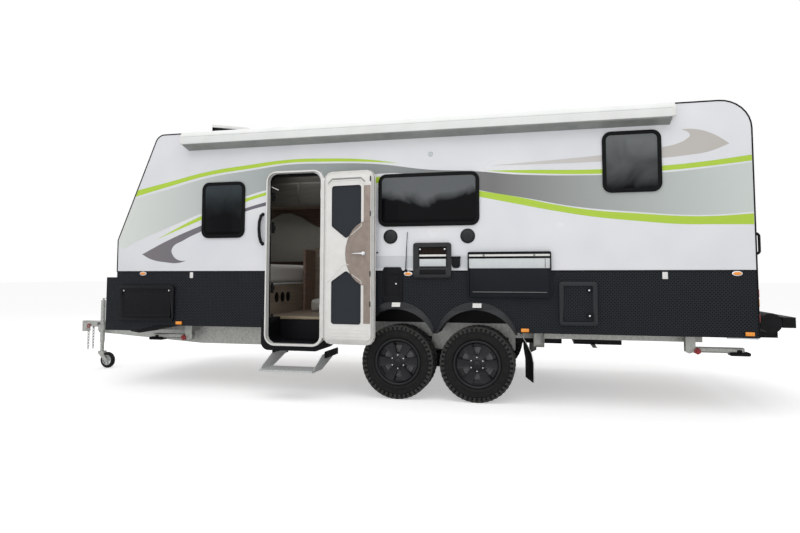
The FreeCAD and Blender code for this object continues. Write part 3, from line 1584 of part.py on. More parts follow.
# Air conditioner and hatches on the roof
cooler_back = size.cooler_length - size.cooler_front
cooler_base = size.roof_height + seam + size.cooler_plinth
cooler_shell = pad(
    "cooler_shell",
    "XZ",
    [
        (-size.cooler_front, cooler_base),
        (cooler_back, cooler_base),
        (cooler_back - 40, cooler_base + size.cooler_rise - size.cooler_plinth - size.cooler_fall, 60),
        (-size.cooler_front + 180, size.roof_height + size.cooler_rise, 150),
        (-size.cooler_front + 20, size.roof_height + size.cooler_rise - 20, 60),
    ],
    -size.cooler_half_width,
    size.cooler_half_width,
)
cooler_seal = box("cooler_seal", (-size.cooler_front + 60, cooler_back - 60),
                  (-size.cooler_half_width + 60, size.cooler_half_width - 60),
                  (size.roof_height + seam, cooler_base))
hatch_half = size.hatch_length / 2
hatch_domes = [
    pad("hatch_dome", "YZ",
        [(-hatch_half, size.roof_height + seam), (hatch_half, size.roof_height + seam),
         (hatch_half - 20, size.roof_height + size.hatch_height, 40),
         (-hatch_half + 20, size.roof_height + size.hatch_height, 40)],
        x - hatch_half, x + hatch_half)
    for x in (size.front_hatch_x, size.rear_hatch_x)
]
node("roof_fittings", group("roof_units", fuse("cooler", cooler_shell, cooler_seal), *hatch_domes))

# Grab handles by the door and at the corners, and small fittings on the wall

def grab_handle(name, foot, rise, out, bow):
    """A bowed bar of eight sides on two feet against a wall; out points away from the wall."""
    start = Vector(*[float(part) for part in foot])
    away = Vector(*out)
    held = start + away * float(size.handle_stand)
    swell = Vector(*bow)
    up = Vector(0, 0, rise)
    route = [start, held, held + up * 0.3 + swell, held + up * 0.7 + swell, held + up, start + up]
    across = away.cross(Vector(0, 0, 1))
    section = [
        start + (across * math.cos(turn) + Vector(0, 0, math.sin(turn))) * float(size.handle_bar / 2)
        for turn in (math.radians(45 * corner) for corner in range(8))
    ]
    piece = swept_bar(name, route, section)
    place(piece)
    return piece


near_y = -half_width + 90
entry_handle = grab_handle("entry_handle", (-1975, -half_width - seam, 1655), 380, (0, -1, 0), (-45, 0, 0))
corner_handles = [
    grab_handle("front_handle", (front_x - seam, near_y, 1395), 260, (-1, 0, 0), (0, 0, 0)),
    grab_handle("rear_handle", (size.body_rear + seam, near_y, 1475), 255, (1, 0, 0), (0, 0, 0)),
]
speakers = [
    flat_sided("speaker", (x, -half_width - 12, 1711), 164, 12 - seam, "Y", 24) for x in (-473, 336)
]
outlet = box("outlet", (195, 262), (-half_width - 45, -half_width - seam), (1385, 1499))
annex_light = flat_sided("annex_light", (-43, -half_width - 20, size.roof_height - 394), 54, 20 - seam,
                         "Y", 12)
antenna_base = flat_sided("antenna_base", (-277, -half_width - 30, 1362), 18, 30 - seam, "Y")
antenna = flat_sided("antenna", (-277, -half_width - 22, 1362), 6, 300, "Z")
node(
    "outside_fittings",
    group("fittings", entry_handle, both_sides("corner_handles", group("near_handles", *corner_handles)),
          *speakers, outlet, annex_light, fuse("aerial", antenna_base, antenna), *table_ears),
)

side_lamps = [
    box("side_lamp", (x - 42, x + 42), (-half_width - 22, -half_width - seam), (z - 20, z + 20))
    for x, z in ((-3003, 755), (912, 752), (2946, 760))
]
markers = [
    box("marker", (x - 47, x + 47), (-half_width - 20, -half_width - seam), (z - 25, z + 25))
    for x, z in ((-3495, 1322), (-240, 1320), (2857, 1318))
]
tail_lamps = [
    box("tail_lamp", (size.body_rear + seam, size.body_rear + 35), (60 - half_width, 190 - half_width),
        (860, 1210))
]
node("lamps", both_sides("lamp_set", group("near_lamps", *side_lamps, *markers, *tail_lamps)))

# Inside, as seen through the doorway: bed with its bulkhead, mattress, pillows and cabinets
bed_top = size.bed_height
board = size.board
bed_front = size.body_front - size.wall - 20
bulkhead = box("bulkhead", (-size.bulkhead_x - board, -size.bulkhead_x),
               (seam - wall_inner, wall_inner - seam), (floor_top + seam, bed_top - board))
platform = box("platform", (-bed_front, -size.bulkhead_x), (seam - wall_inner, wall_inner - seam),
               (bed_top - board, bed_top))
foot_box = cut(
    "foot_box",
    box("foot_outside", (-size.bulkhead_x, -size.bed_foot), (-size.bed_half_width, size.bed_half_width),
        (floor_top + seam, bed_top)),
    box("foot_inside", (-size.bulkhead_x - 10, -size.bed_foot - board),
        (-size.bed_half_width + board, size.bed_half_width - board), (floor_top - 10, bed_top - board)),
)
side_cabinet = box("side_cabinet", (30 - size.bed_foot, 850 - size.bed_foot),
                   (wall_inner - 565, wall_inner - seam), (floor_top + seam, bed_top + 500))
overhead = box("overhead", (-size.bulkhead_x - 100, 950 - size.bed_foot),
               (wall_inner - 385, wall_inner - seam), (size.roof_height - 635, size.roof_height - 265))
node("furniture", group("cabinetry", fuse("bed_base", bulkhead, platform, foot_box), side_cabinet, overhead))
mattress_block = pad(
    "mattress_block",
    "XY",
    rectangle(-bed_front + 30, -size.bed_foot - 20, -size.bed_half_width + 10, size.bed_half_width - 10, 90),
    bed_top + seam,
    bed_top + seam + size.mattress,
)
pillow_top = bed_top + seam + size.mattress + seam
pillows = [
    pad("pillow", "XY", rectangle(-bed_front + 80, -bed_front + 500, y - 330, y + 330, 80), pillow_top,
        pillow_top + 130)
    for y in (-370, 370)
]
node("bedding", group("bed_linen", mattress_block, *pillows))

doc.recompute()
for item in doc.Objects:
    if "Invalid" in item.State or "Error" in item.State:
        raise RuntimeError(f"{item.Label} failed: {item.State}")
os.makedirs("parts", exist_ok=True)
for piece in nodes:
    shape = piece.Shape
    if shape.isNull() or not shape.isValid():
        raise RuntimeError(f"{piece.Label} has no valid shape")
    shape.exportStep(f"parts/{piece.Label}.step")
print(len(nodes), "sub-parts written")
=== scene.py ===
import json
import math

import bpy
from mathutils import Matrix, Vector


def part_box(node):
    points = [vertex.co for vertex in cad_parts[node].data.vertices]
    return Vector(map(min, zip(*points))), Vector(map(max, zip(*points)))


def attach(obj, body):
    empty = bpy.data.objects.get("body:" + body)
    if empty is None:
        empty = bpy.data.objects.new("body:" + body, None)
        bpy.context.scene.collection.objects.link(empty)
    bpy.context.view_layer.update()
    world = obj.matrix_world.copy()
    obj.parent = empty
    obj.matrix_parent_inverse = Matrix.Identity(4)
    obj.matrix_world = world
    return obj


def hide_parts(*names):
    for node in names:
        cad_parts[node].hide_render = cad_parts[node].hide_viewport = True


# Travel caravan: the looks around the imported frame. Metres, +X to the rear, +Z up, door side at -Y.

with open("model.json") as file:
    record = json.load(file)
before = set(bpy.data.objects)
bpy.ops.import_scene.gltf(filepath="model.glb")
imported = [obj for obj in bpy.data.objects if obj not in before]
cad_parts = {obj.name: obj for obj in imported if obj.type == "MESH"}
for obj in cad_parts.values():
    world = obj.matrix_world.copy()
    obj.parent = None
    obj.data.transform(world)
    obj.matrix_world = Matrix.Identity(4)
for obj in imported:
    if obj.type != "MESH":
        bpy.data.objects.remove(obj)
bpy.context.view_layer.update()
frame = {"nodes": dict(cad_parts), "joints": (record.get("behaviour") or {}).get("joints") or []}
print("stage: frame loaded")

# Places that everything is measured from: the middle of the two axles, the centre line, the outer faces
frontTyre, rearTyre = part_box("tyre_front_left"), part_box("tyre_rear_left")
frontAxle = (frontTyre[0].x + frontTyre[1].x) / 2
rearAxle = (rearTyre[0].x + rearTyre[1].x) / 2
axleMiddle = (frontAxle + rearAxle) / 2
wheelHeight = frontTyre[1].z / 2
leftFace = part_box("side_wall_left")[0].y
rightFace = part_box("side_wall_right")[1].y
middleY = (leftFace + rightFace) / 2
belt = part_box("side_wall_left")[0].z
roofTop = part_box("side_wall_left")[1].z
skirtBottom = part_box("rear_skirt")[0].z
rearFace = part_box("rear_wall")[1].x
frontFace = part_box("front_wall")[0].x


# Small tools for modelling
def activate(*pieces):
    bpy.ops.object.select_all(action="DESELECT")
    for piece in pieces:
        piece.select_set(True)
    bpy.context.view_layer.objects.active = pieces[0]


def settle(piece):
    activate(piece)
    bpy.ops.object.transform_apply(location=True, rotation=True, scale=True)
    return piece


def modify(piece, kind, **settings):
    activate(piece)
    modifier = piece.modifiers.new(kind.title(), kind)
    for name, value in settings.items():
        setattr(modifier, name, value)
    bpy.ops.object.modifier_apply(modifier=modifier.name)
    return piece


def roundEdges(piece, width, segments=2, angle=35):
    return modify(piece, "BEVEL", width=width, segments=segments, limit_method="ANGLE",
                  angle_limit=math.radians(angle))


def faceOut(piece):
    activate(piece)
    bpy.ops.object.mode_set(mode="EDIT")
    bpy.ops.mesh.select_all(action="SELECT")
    bpy.ops.mesh.remove_doubles(threshold=0.00002)
    bpy.ops.mesh.normals_make_consistent(inside=False)
    bpy.ops.object.mode_set(mode="OBJECT")
    return piece


def chooseFaces(piece, rule):
    activate(piece)
    bpy.ops.object.mode_set(mode="EDIT")
    bpy.ops.mesh.select_mode(type="FACE")
    bpy.ops.mesh.select_all(action="DESELECT")
    bpy.ops.object.mode_set(mode="OBJECT")
    for face in piece.data.polygons:
        face.select = rule(face)
    bpy.ops.object.mode_set(mode="EDIT")


def insetFaces(piece, rule, thickness, depth):
    chooseFaces(piece, rule)
    bpy.ops.mesh.inset(thickness=thickness, depth=depth)
    bpy.ops.object.mode_set(mode="OBJECT")
    return piece


def addBlock(name, low, high, bevel=0, segments=2):
    low, high = Vector(low), Vector(high)
    bpy.ops.object.select_all(action="DESELECT")
    bpy.ops.mesh.primitive_cube_add(size=1, location=(low + high) / 2)
    piece = bpy.context.object
    piece.name = name
    piece.scale = high - low
    settle(piece)
    return roundEdges(piece, bevel, segments) if bevel else piece


axisTurns = {"X": (0, math.pi / 2, 0), "Y": (math.pi / 2, 0, 0), "Z": (0, 0, 0)}


def addDrum(name, centre, radius, depth, axis="Y", sides=40, bevel=0):
    bpy.ops.object.select_all(action="DESELECT")
    bpy.ops.mesh.primitive_cylinder_add(vertices=sides, radius=radius, depth=depth, location=centre,
                                        rotation=axisTurns[axis])
    piece = bpy.context.object
    piece.name = name
    settle(piece)
    return roundEdges(piece, bevel) if bevel else piece


def curveObject(name, curve):
    piece = bpy.data.objects.new(name, curve)
    bpy.context.scene.collection.objects.link(piece)
    return piece


def addSpline(curve, points, cyclic=True):  # points are (x, y) or (x, y, z)
    spline = curve.splines.new("POLY")
    spline.points.add(len(points) - 1)
    for spot, point in zip(spline.points, points):
        spot.co = (*point, *[0] * (3 - len(point)), 1)
    spline.use_cyclic_u = cyclic


def addSoftSpline(curve, points):
    spline = curve.splines.new("BEZIER")
    spline.bezier_points.add(len(points) - 1)
    for spot, point in zip(spline.bezier_points, points):
        spot.co = (point[0], point[1], 0)
        kind = "VECTOR" if len(point) > 2 else "AUTO"
        spot.handle_left_type = spot.handle_right_type = kind
    spline.use_cyclic_u = True


def toMesh(piece):
    activate(piece)
    bpy.ops.object.convert(target="MESH")
    return settle(piece)


# A flat outline in X and Z, with holes; a soft one runs smoothly through all but its marked corners
def addPlate(name, outline, yLow, yHigh, holes=(), soft=False):
    curve = bpy.data.curves.new(name, "CURVE")
    curve.dimensions = "2D"
    curve.fill_mode = "BOTH"
    curve.resolution_u = 10
    curve.extrude = (yHigh - yLow) / 2
    for points in (outline, *holes):
        addSoftSpline(curve, points) if soft else addSpline(curve, points)
    piece = curveObject(name, curve)
    piece.rotation_euler = (math.pi / 2, 0, 0)
    piece.location = (0, (yLow + yHigh) / 2, 0)
    return faceOut(toMesh(piece))


def addSection(name, outline, xLow, xHigh):  # a flat outline in Y and Z, carried along X
    curve = bpy.data.curves.new(name, "CURVE")
    curve.dimensions = "2D"
    curve.fill_mode = "BOTH"
    curve.extrude = (xHigh - xLow) / 2
    addSpline(curve, outline)
    piece = curveObject(name, curve)
    piece.rotation_euler = (math.pi / 2, 0, math.pi / 2)
    piece.location = ((xLow + xHigh) / 2, 0, 0)
    return faceOut(toMesh(piece))


def addBar(name, points, radius, cyclic=False, sides=3):
    curve = bpy.data.curves.new(name, "CURVE")
    curve.dimensions = "3D"
    curve.bevel_depth = radius
    curve.bevel_resolution = sides
    curve.use_fill_caps = not cyclic
    addSpline(curve, points, cyclic)
    return faceOut(toMesh(curveObject(name, curve)))


def addTurned(name, profile, centre, steps=72, axis="Y"):  # the profile is (radius, along)
    curve = bpy.data.curves.new(name, "CURVE")
    curve.dimensions = "3D"
    addSpline(curve, profile)
    piece = toMesh(curveObject(name, curve))
    modify(piece, "SCREW", axis="Y", angle=2 * math.pi, steps=steps, render_steps=steps,
           use_merge_vertices=True, merge_threshold=0.00002)
    if axis == "Z":
        piece.rotation_euler = (math.pi / 2, 0, 0)
    if axis == "X":
        piece.rotation_euler = (0, 0, -math.pi / 2)
    piece.location = centre
    return faceOut(settle(piece))


def copyPiece(source, name, matrix):
    piece = source.copy()
    piece.data = source.data.copy()
    piece.name = name
    bpy.context.scene.collection.objects.link(piece)
    piece.data.transform(matrix)
    return piece


def mirrored(source, name):  # the same piece on the far side of the centre line
    across = Matrix.Translation((0, 2 * middleY, 0)) @ Matrix.Scale(-1, 4, (0, 1, 0))
    piece = copyPiece(source, name, across)
    piece.data.flip_normals()
    return piece


def turnedAbout(centre, angle, axis):
    centre = Vector(centre)
    return Matrix.Translation(centre) @ Matrix.Rotation(angle, 4, axis) @ Matrix.Translation(-centre)


def join(name, pieces):
    activate(*pieces)
    bpy.ops.object.join()
    pieces[0].name = name
    return pieces[0]


def finish(piece, material, body="caravan", smooth=35, instead=()):
    piece.data.materials.clear()
    piece.data.materials.append(material)
    activate(piece)
    bpy.ops.object.shade_smooth_by_angle(angle=math.radians(smooth))
    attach(piece, body)
    if instead:
        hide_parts(*instead)
    return piece


def finishPair(piece, material, instead=(), smooth=35):  # the piece and its likeness on the far side
    finish(mirrored(piece, piece.name + "Far"), material, smooth=smooth)
    return finish(piece, material, smooth=smooth, instead=instead)


def ovalRing(x, z, wide, tall, steps=24):
    return [(x + wide * math.cos(turn), z + tall * math.sin(turn))
            for turn in (2 * math.pi * step / steps for step in range(steps))]


def roundedPath(corners, steps=6):  # corners are (x, z, radius)
    points = []
    count = len(corners)
    for here, (x, z, radius) in enumerate(corners):
        spot = Vector((x, z))
        back = (Vector(corners[here - 1][:2]) - spot).normalized()
        ahead = (Vector(corners[(here + 1) % count][:2]) - spot).normalized()
        half = back.angle(ahead) / 2
        if radius < 0.001:
            points.append((x, z))
            continue
        run = radius / math.tan(half)
        hub = spot + (back + ahead).normalized() * radius / math.sin(half)
        start, end = spot + back * run - hub, spot + ahead * run - hub
        for step in range(steps + 1):
            arm = start.slerp(end, step / steps).normalized() * radius
            points.append(tuple(hub + arm))
    return points


def roundedBox(left, right, bottom, top, radius, steps=6):
    corners = ((left, bottom), (right, bottom), (right, top), (left, top))
    return roundedPath([(x, z, radius) for x, z in corners], steps)


# Places on the near wall are counted along it from midway between the axles, and outwards from its face
def onWall(points):
    return [(point[0] + axleMiddle, *point[1:]) for point in points]


def wallBlock(name, left, right, bottom, top, out, base=0, bevel=0.002):
    low = (left + axleMiddle, leftFace - out, bottom)
    return addBlock(name, low, (right + axleMiddle, leftFace - base, top), bevel)


def wallPlate(name, outline, out, base=0, holes=(), bevel=0.002):
    return roundEdges(addPlate(name, onWall(outline), leftFace - out, leftFace - base,
                               [onWall(hole) for hole in holes]), bevel, 2)


def wallDrum(name, x, z, radius, out, base=0, sides=32, bevel=0.002):
    centre = (x + axleMiddle, leftFace - (out + base) / 2, z)
    return addDrum(name, centre, radius, out - base, "Y", sides, bevel)


# Materials
def paint(hexColour):
    channels = [int(hexColour[at:at + 2], 16) / 255 for at in (1, 3, 5)]
    return [c / 12.92 if c <= 0.04045 else ((c + 0.055) / 1.055) ** 2.4 for c in channels] + [1]


def perMetre(millimetres):
    return 1000 / millimetres


def addNode(tree, kind, settings=None, links=None):
    node = tree.nodes.new("ShaderNode" + kind)
    for name, value in (settings or {}).items():
        if isinstance(name, str) and hasattr(node, name):
            setattr(node, name, value)
        else:
            node.inputs[name].default_value = value
    for name, (source, output) in (links or {}).items():
        tree.links.new(source.outputs[output], node.inputs[name])
    return node


def startMaterial(name, **settings):
    material = bpy.data.materials.new(name)
    material.use_nodes = True
    tree = material.node_tree
    tree.nodes.clear()
    shader = addNode(tree, "BsdfPrincipled", {key.replace("_", " "): value for key, value in settings.items()})
    addNode(tree, "OutputMaterial", links={"Surface": (shader, "BSDF")})
    return material, tree, shader


# Colour, gloss and height that vary with a noise of one grain, given in millimetres
def mottle(tree, shader, dark, light, grain, rough, bump=0, detail=3):
    place = addNode(tree, "TexCoord")
    noise = addNode(tree, "TexNoise", {"Scale": perMetre(grain), "Detail": detail},
                    {"Vector": (place, "Object")})
    colours = addNode(tree, "ValToRGB", links={"Fac": (noise, "Fac")})
    for element, where, colour in zip(colours.color_ramp.elements, (0.3, 0.7), (dark, light)):
        element.position = where
        element.color = paint(colour)
    tree.links.new(colours.outputs["Color"], shader.inputs["Base Color"])
    gloss = addNode(tree, "MapRange", {"To Min": rough[0], "To Max": rough[1]}, {"Value": (noise, "Fac")})
    tree.links.new(gloss.outputs["Result"], shader.inputs["Roughness"])
    if bump:
        height = addNode(tree, "Bump", {"Strength": 0.6, "Distance": bump / 1000}, {"Height": (noise, "Fac")})
        tree.links.new(height.outputs["Normal"], shader.inputs["Normal"])
    return place, noise


def enamelledSheet():
    # White acrylic enamel on aluminium sheet: glossy, with a slow waviness in what it mirrors
    material, tree, shader = startMaterial("enamelledAluminiumSheet", IOR=1.5, Coat_Weight=0.25)
    mottle(tree, shader, "#E1E3E8", "#E8E9EC", 420, (0.2, 0.3), bump=0.8, detail=1)
    return material


def checkerPlate():
    # Black powder-coated aluminium tread plate: raised lozenges, each across its neighbours
    pitch, stretches = 17, {"ADD": 1.05, "SUBTRACT": 3.4}  # how short and how narrow a lozenge is in its cell
    material, tree, shader = startMaterial("powderCoatedCheckerPlate", IOR=1.5, Specular_IOR_Level=0.12)
    place = addNode(tree, "TexCoord")
    axes = addNode(tree, "SeparateXYZ", links={"Vector": (place, "Object")})
    along = addNode(tree, "Math", {"operation": "ADD"}, {0: (axes, "X"), 1: (axes, "Y")})
    cells = []
    for source, output in ((along, "Value"), (axes, "Z")):
        scaled = addNode(tree, "Math", {"operation": "MULTIPLY", 1: perMetre(pitch)}, {0: (source, output)})
        whole = addNode(tree, "Math", {"operation": "FLOOR"}, {0: (scaled, "Value")})
        part = addNode(tree, "Math", {"operation": "FRACT"}, {0: (scaled, "Value")})
        centred = addNode(tree, "Math", {"operation": "SUBTRACT", 1: 0.5}, {0: (part, "Value")})
        cells.append((whole, centred))
    count = addNode(tree, "Math", {"operation": "ADD"}, {0: (cells[0][0], "Value"), 1: (cells[1][0], "Value")})
    odd = addNode(tree, "Math", {"operation": "FLOORED_MODULO", 1: 2}, {0: (count, "Value")})
    way = addNode(tree, "Math", {"operation": "MULTIPLY_ADD", 1: -2, 2: 1}, {0: (odd, "Value")})
    turned = addNode(tree, "Math", {"operation": "MULTIPLY"}, {0: (cells[0][1], "Value"), 1: (way, "Value")})
    squares = []
    for operation, stretch in stretches.items():
        mixed = addNode(tree, "Math", {"operation": operation},
                        {0: (turned, "Value"), 1: (cells[1][1], "Value")})
        wide = addNode(tree, "Math", {"operation": "MULTIPLY", 1: stretch}, {0: (mixed, "Value")})
        squares.append(addNode(tree, "Math", {"operation": "POWER", 1: 2}, {0: (wide, "Value")}))
    reach = addNode(tree, "Math", {"operation": "ADD"}, {0: (squares[0], "Value"), 1: (squares[1], "Value")})
    lozenge = addNode(tree, "MapRange", {"interpolation_type": "SMOOTHSTEP", "From Min": 0.5, "From Max": 1.0,
                                         "To Min": 1, "To Max": 0}, {"Value": (reach, "Value")})
    worn = addNode(tree, "TexNoise", {"Scale": perMetre(260), "Detail": 4}, {"Vector": (place, "Object")})
    ground = addNode(tree, "ValToRGB", links={"Fac": (worn, "Fac")})
    ground.color_ramp.elements[0].color = paint("#0E0F12")
    ground.color_ramp.elements[1].color = paint("#181A1E")
    # The tops of the lozenges are paler than the ground: partly wear on the tread, partly a painted highlight where
    # they catch the light
    crownWearAndSheen = addNode(tree, "Mix", {"data_type": "RGBA", 7: paint("#33373D")},
                    {0: (lozenge, "Result"), 6: (ground, "Color")})
    tree.links.new(crownWearAndSheen.outputs[2], shader.inputs["Base Color"])
    gloss = addNode(tree, "MapRange", {"To Min": 0.42, "To Max": 0.3}, {"Value": (lozenge, "Result")})
    tree.links.new(gloss.outputs["Result"], shader.inputs["Roughness"])
    height = addNode(tree, "Bump", {"Strength": 0.8, "Distance": 0.0018}, {"Height": (lozenge, "Result")})
    tree.links.new(height.outputs["Normal"], shader.inputs["Normal"])
    return material


def mouldedBlack():
    # Black textured ABS moulding: soft sheen over a leathery grain
    material, tree, shader = startMaterial("mouldedBlackABS", IOR=1.53, Specular_IOR_Level=0.12)
    mottle(tree, shader, "#0D0E10", "#17181B", 9, (0.38, 0.5), bump=0.25)
    return material


def slateMoulding():
    # Dark grey textured moulding round hatches and arches: a shade lighter than the plate
    material, tree, shader = startMaterial("slateGreyMoulding", IOR=1.5, Specular_IOR_Level=0.3)
    mottle(tree, shader, "#1D1F21", "#282A2D", 12, (0.28, 0.4), bump=0.3)
    return material


def glossBlack():
    # Black gloss enamel on smooth sheet: dark, with a clear reflection of the sky
    material, tree, shader = startMaterial("glossBlackEnamel", IOR=1.5, Specular_IOR_Level=0.16)
    mottle(tree, shader, "#0D1015", "#131820", 300, (0.16, 0.24))
    return material


def galvanised():
    # Hot-dip galvanised steel: pale grey with spangle flakes of differing gloss
    material, tree, shader = startMaterial("hotDipGalvanisedSteel", Metallic=0.55)
    place = addNode(tree, "TexCoord")
    flakes = addNode(tree, "TexVoronoi", {"Scale": perMetre(22)}, {"Vector": (place, "Object")})
    colours = addNode(tree, "ValToRGB", links={"Fac": (flakes, "Color")})
    colours.color_ramp.elements[0].color = paint("#A3A5A0")
    colours.color_ramp.elements[1].color = paint("#C6C8C4")
    tree.links.new(colours.outputs["Color"], shader.inputs["Base Color"])
    gloss = addNode(tree, "MapRange", {"To Min": 0.35, "To Max": 0.6}, {"Value": (flakes, "Color")})
    tree.links.new(gloss.outputs["Result"], shader.inputs["Roughness"])
    height = addNode(tree, "Bump", {"Strength": 0.3, "Distance": 0.0006}, {"Height": (flakes, "Distance")})
    tree.links.new(height.outputs["Normal"], shader.inputs["Normal"])
    return material


def blackSteel():
    # Chassis black over steel: dull, a little dusty
    material, tree, shader = startMaterial("chassisBlackSteel", IOR=1.5, Specular_IOR_Level=0.15)
    mottle(tree, shader, "#0E0F10", "#1B1C1E", 60, (0.5, 0.7), bump=0.4)
    return material


def millAluminium():
    # Extruded aluminium: satin grey with fine lines along the extrusion
    material, tree, shader = startMaterial("extrudedAluminium", Metallic=1.0)
    place, noise = mottle(tree, shader, "#B4B7BA", "#CFD2D4", 14, (0.3, 0.45))
    stretch = addNode(tree, "Mapping", {"Scale": (0.05, 1, 1)}, {"Vector": (place, "Object")})
    tree.links.new(stretch.outputs["Vector"], noise.inputs["Vector"])
    return material


def chromed():
    # Chromed brass of locks, studs and bezels: mirror bright
    material, tree, shader = startMaterial("chromedBrass", Metallic=1.0)
    mottle(tree, shader, "#D2D4D6", "#E2E4E6", 40, (0.08, 0.16))
    return material


def tyreRubber():
    # Tyre rubber: charcoal, matt and plain; the lugs have a finish of their own
    material, tree, shader = startMaterial("vulcanisedTyreRubber", IOR=1.52, Specular_IOR_Level=0.2)
    mottle(tree, shader, "#111111", "#1E1E1D", 45, (0.6, 0.8), bump=0.5)
    return material


def treadScuffAndSheen():
    # Tread blocks of the tyre: scuffed, dusted rubber, greyer than the wall; the paler grey is partly a painted
    # highlight on the lugs
    material, tree, shader = startMaterial("scuffedTreadRubberAndSheen", IOR=1.52, Specular_IOR_Level=0.3)
    # Paler than the wall: partly dust, partly painted highlight on the tops of the lugs
    mottle(tree, shader, "#1C1C1B", "#3B3A37", 22, (0.5, 0.7), bump=0.6)
    return material


def castDrum():
    # Cast iron brake drum behind the spokes: grey, dull, a little rusty
    material, tree, shader = startMaterial("castIronDrum", Metallic=0.3)
    mottle(tree, shader, "#5C5B5B", "#78777A", 24, (0.5, 0.65), bump=0.4)
    return material


def sealRubber():
    # Extruded EPDM seal: near black, soft sheen
    material, tree, shader = startMaterial("extrudedSealRubber", IOR=1.5, Specular_IOR_Level=0.1)
    mottle(tree, shader, "#0A0B0C", "#121315", 25, (0.4, 0.55))
    return material


def alloyBlack():
    # Gloss black lacquer on cast alloy
    material, tree, shader = startMaterial("lacqueredCastAlloy", IOR=1.5, Specular_IOR_Level=0.3,
                                           Coat_Weight=0.15, Coat_Roughness=0.1)
    mottle(tree, shader, "#0B0C0F", "#131519", 30, (0.25, 0.35), bump=0.1)
    return material


def whiteMoulding():
    # White ASA moulding: warmer and softer than the enamelled sheet
    material, tree, shader = startMaterial("mouldedWhiteASA", IOR=1.5)
    mottle(tree, shader, "#E3E2DF", "#EAE9E6", 90, (0.28, 0.38), bump=0.15)
    return material


def whiteEnamel():
    # White powder coat of the awning's case
    material, tree, shader = startMaterial("powderCoatedAwningCase", IOR=1.5, Coat_Weight=0.15)
    mottle(tree, shader, "#E4E6E4", "#ECEEEC", 240, (0.25, 0.35))
    return material


def awningShade():
    # Satin grey anodised lead rail under the awning; the same grey is also painted shade on the door frame's seal line
    # and above the leaf's arch ridge
    material, tree, shader = startMaterial("anodisedLeadRail", Metallic=0.3)
    mottle(tree, shader, "#858884", "#979A97", 160, (0.4, 0.5))
    return material


def taupeMoulding():
    # Taupe ABS of the lock side of the screen door
    material, tree, shader = startMaterial("taupeLockMoulding", IOR=1.5)
    mottle(tree, shader, "#8E8078", "#9D9086", 70, (0.35, 0.45), bump=0.2)
    return material


def insectMesh():
    # Woven insect mesh over the leaf: dark threads, drawn coarser than the real 1.5 mm so that they show
    pitch = 9
    material, tree, shader = startMaterial("wovenInsectMesh", IOR=1.45, Specular_IOR_Level=0.2, Roughness=0.6)
    place = addNode(tree, "TexCoord")
    axes = addNode(tree, "SeparateXYZ", links={"Vector": (place, "Object")})
    waves = []
    for output in ("X", "Z"):
        scaled = addNode(tree, "Math", {"operation": "MULTIPLY", 1: 2 * math.pi * perMetre(pitch)},
                         {0: (axes, output)})
        waves.append(addNode(tree, "Math", {"operation": "SINE"}, {0: (scaled, "Value")}))
    weave = addNode(tree, "Math", {"operation": "MAXIMUM"}, {0: (waves[0], "Value"), 1: (waves[1], "Value")})
    threads = addNode(tree, "MapRange", {"From Min": 0.3, "From Max": 0.9}, {"Value": (weave, "Value")})
    colour = addNode(tree, "Mix", {"data_type": "RGBA", 6: paint("#1D2024"), 7: paint("#3A3E45")},
                     {0: (threads, "Result")})
    tree.links.new(colour.outputs[2], shader.inputs["Base Color"])
    height = addNode(tree, "Bump", {"Strength": 0.4, "Distance": 0.001}, {"Height": (threads, "Result")})
    tree.links.new(height.outputs["Normal"], shader.inputs["Normal"])
    return material


def smokedAcrylic(name, low, high, paintedSkyReflection):
    # Smoked acrylic: dark below, with a painted reflection of the grey sky in its upper part, blending between the two
    # heights along a noisy edge
    cloudiness = 0.4
    material, tree, shader = startMaterial(name, IOR=1.49, Specular_IOR_Level=0.08, Roughness=0.06)
    place = addNode(tree, "TexCoord")
    cloud = addNode(tree, "TexNoise", {"Scale": perMetre(450), "Detail": 3, "Distortion": 0.8},
                    {"Vector": (place, "Object")})
    axes = addNode(tree, "SeparateXYZ", links={"Vector": (place, "Object")})
    level = addNode(tree, "Math", {"operation": "MULTIPLY_ADD", 1: cloudiness},
                    {0: (cloud, "Fac"), 2: (axes, "Z")})
    share = addNode(tree, "MapRange", {"From Min": low + cloudiness / 2, "From Max": high + cloudiness / 2},
                    {"Value": (level, "Value")})
    colours = addNode(tree, "ValToRGB", links={"Fac": (share, "Result")})
    colours.color_ramp.elements[0].color = paint("#090A0C")
    # The second colour is painted reflection: the sky mirrored in the upper pane
    colours.color_ramp.elements[1].color = paint(paintedSkyReflection)
    tree.links.new(colours.outputs["Color"], shader.inputs["Base Color"])
    return material


def vinylFilm(name, stops):
    # Cast vinyl film: flat satin colour, here and there fading along the caravan; stops are (place, colour)
    material, tree, shader = startMaterial(name, IOR=1.48, Coat_Weight=0.2)
    place = addNode(tree, "TexCoord")
    axes = addNode(tree, "SeparateXYZ", links={"Vector": (place, "Object")})
    low, high = stops[0][0] + axleMiddle, stops[-1][0] + axleMiddle
    share = addNode(tree, "MapRange", {"From Min": low, "From Max": high}, {"Value": (axes, "X")})
    colours = addNode(tree, "ValToRGB", links={"Fac": (share, "Result")})
    ramp = colours.color_ramp
    for number, (x, colour) in enumerate(stops):
        where = (x + axleMiddle - low) / (high - low)
        element = ramp.elements[number] if number < 2 else ramp.elements.new(where)
        element.position = where
        element.color = paint(colour)
    tree.links.new(colours.outputs["Color"], shader.inputs["Base Color"])
    fleck = addNode(tree, "TexNoise", {"Scale": perMetre(30)}, {"Vector": (place, "Object")})
    gloss = addNode(tree, "MapRange", {"To Min": 0.26, "To Max": 0.36}, {"Value": (fleck, "Fac")})
    tree.links.new(gloss.outputs["Result"], shader.inputs["Roughness"])
    return material


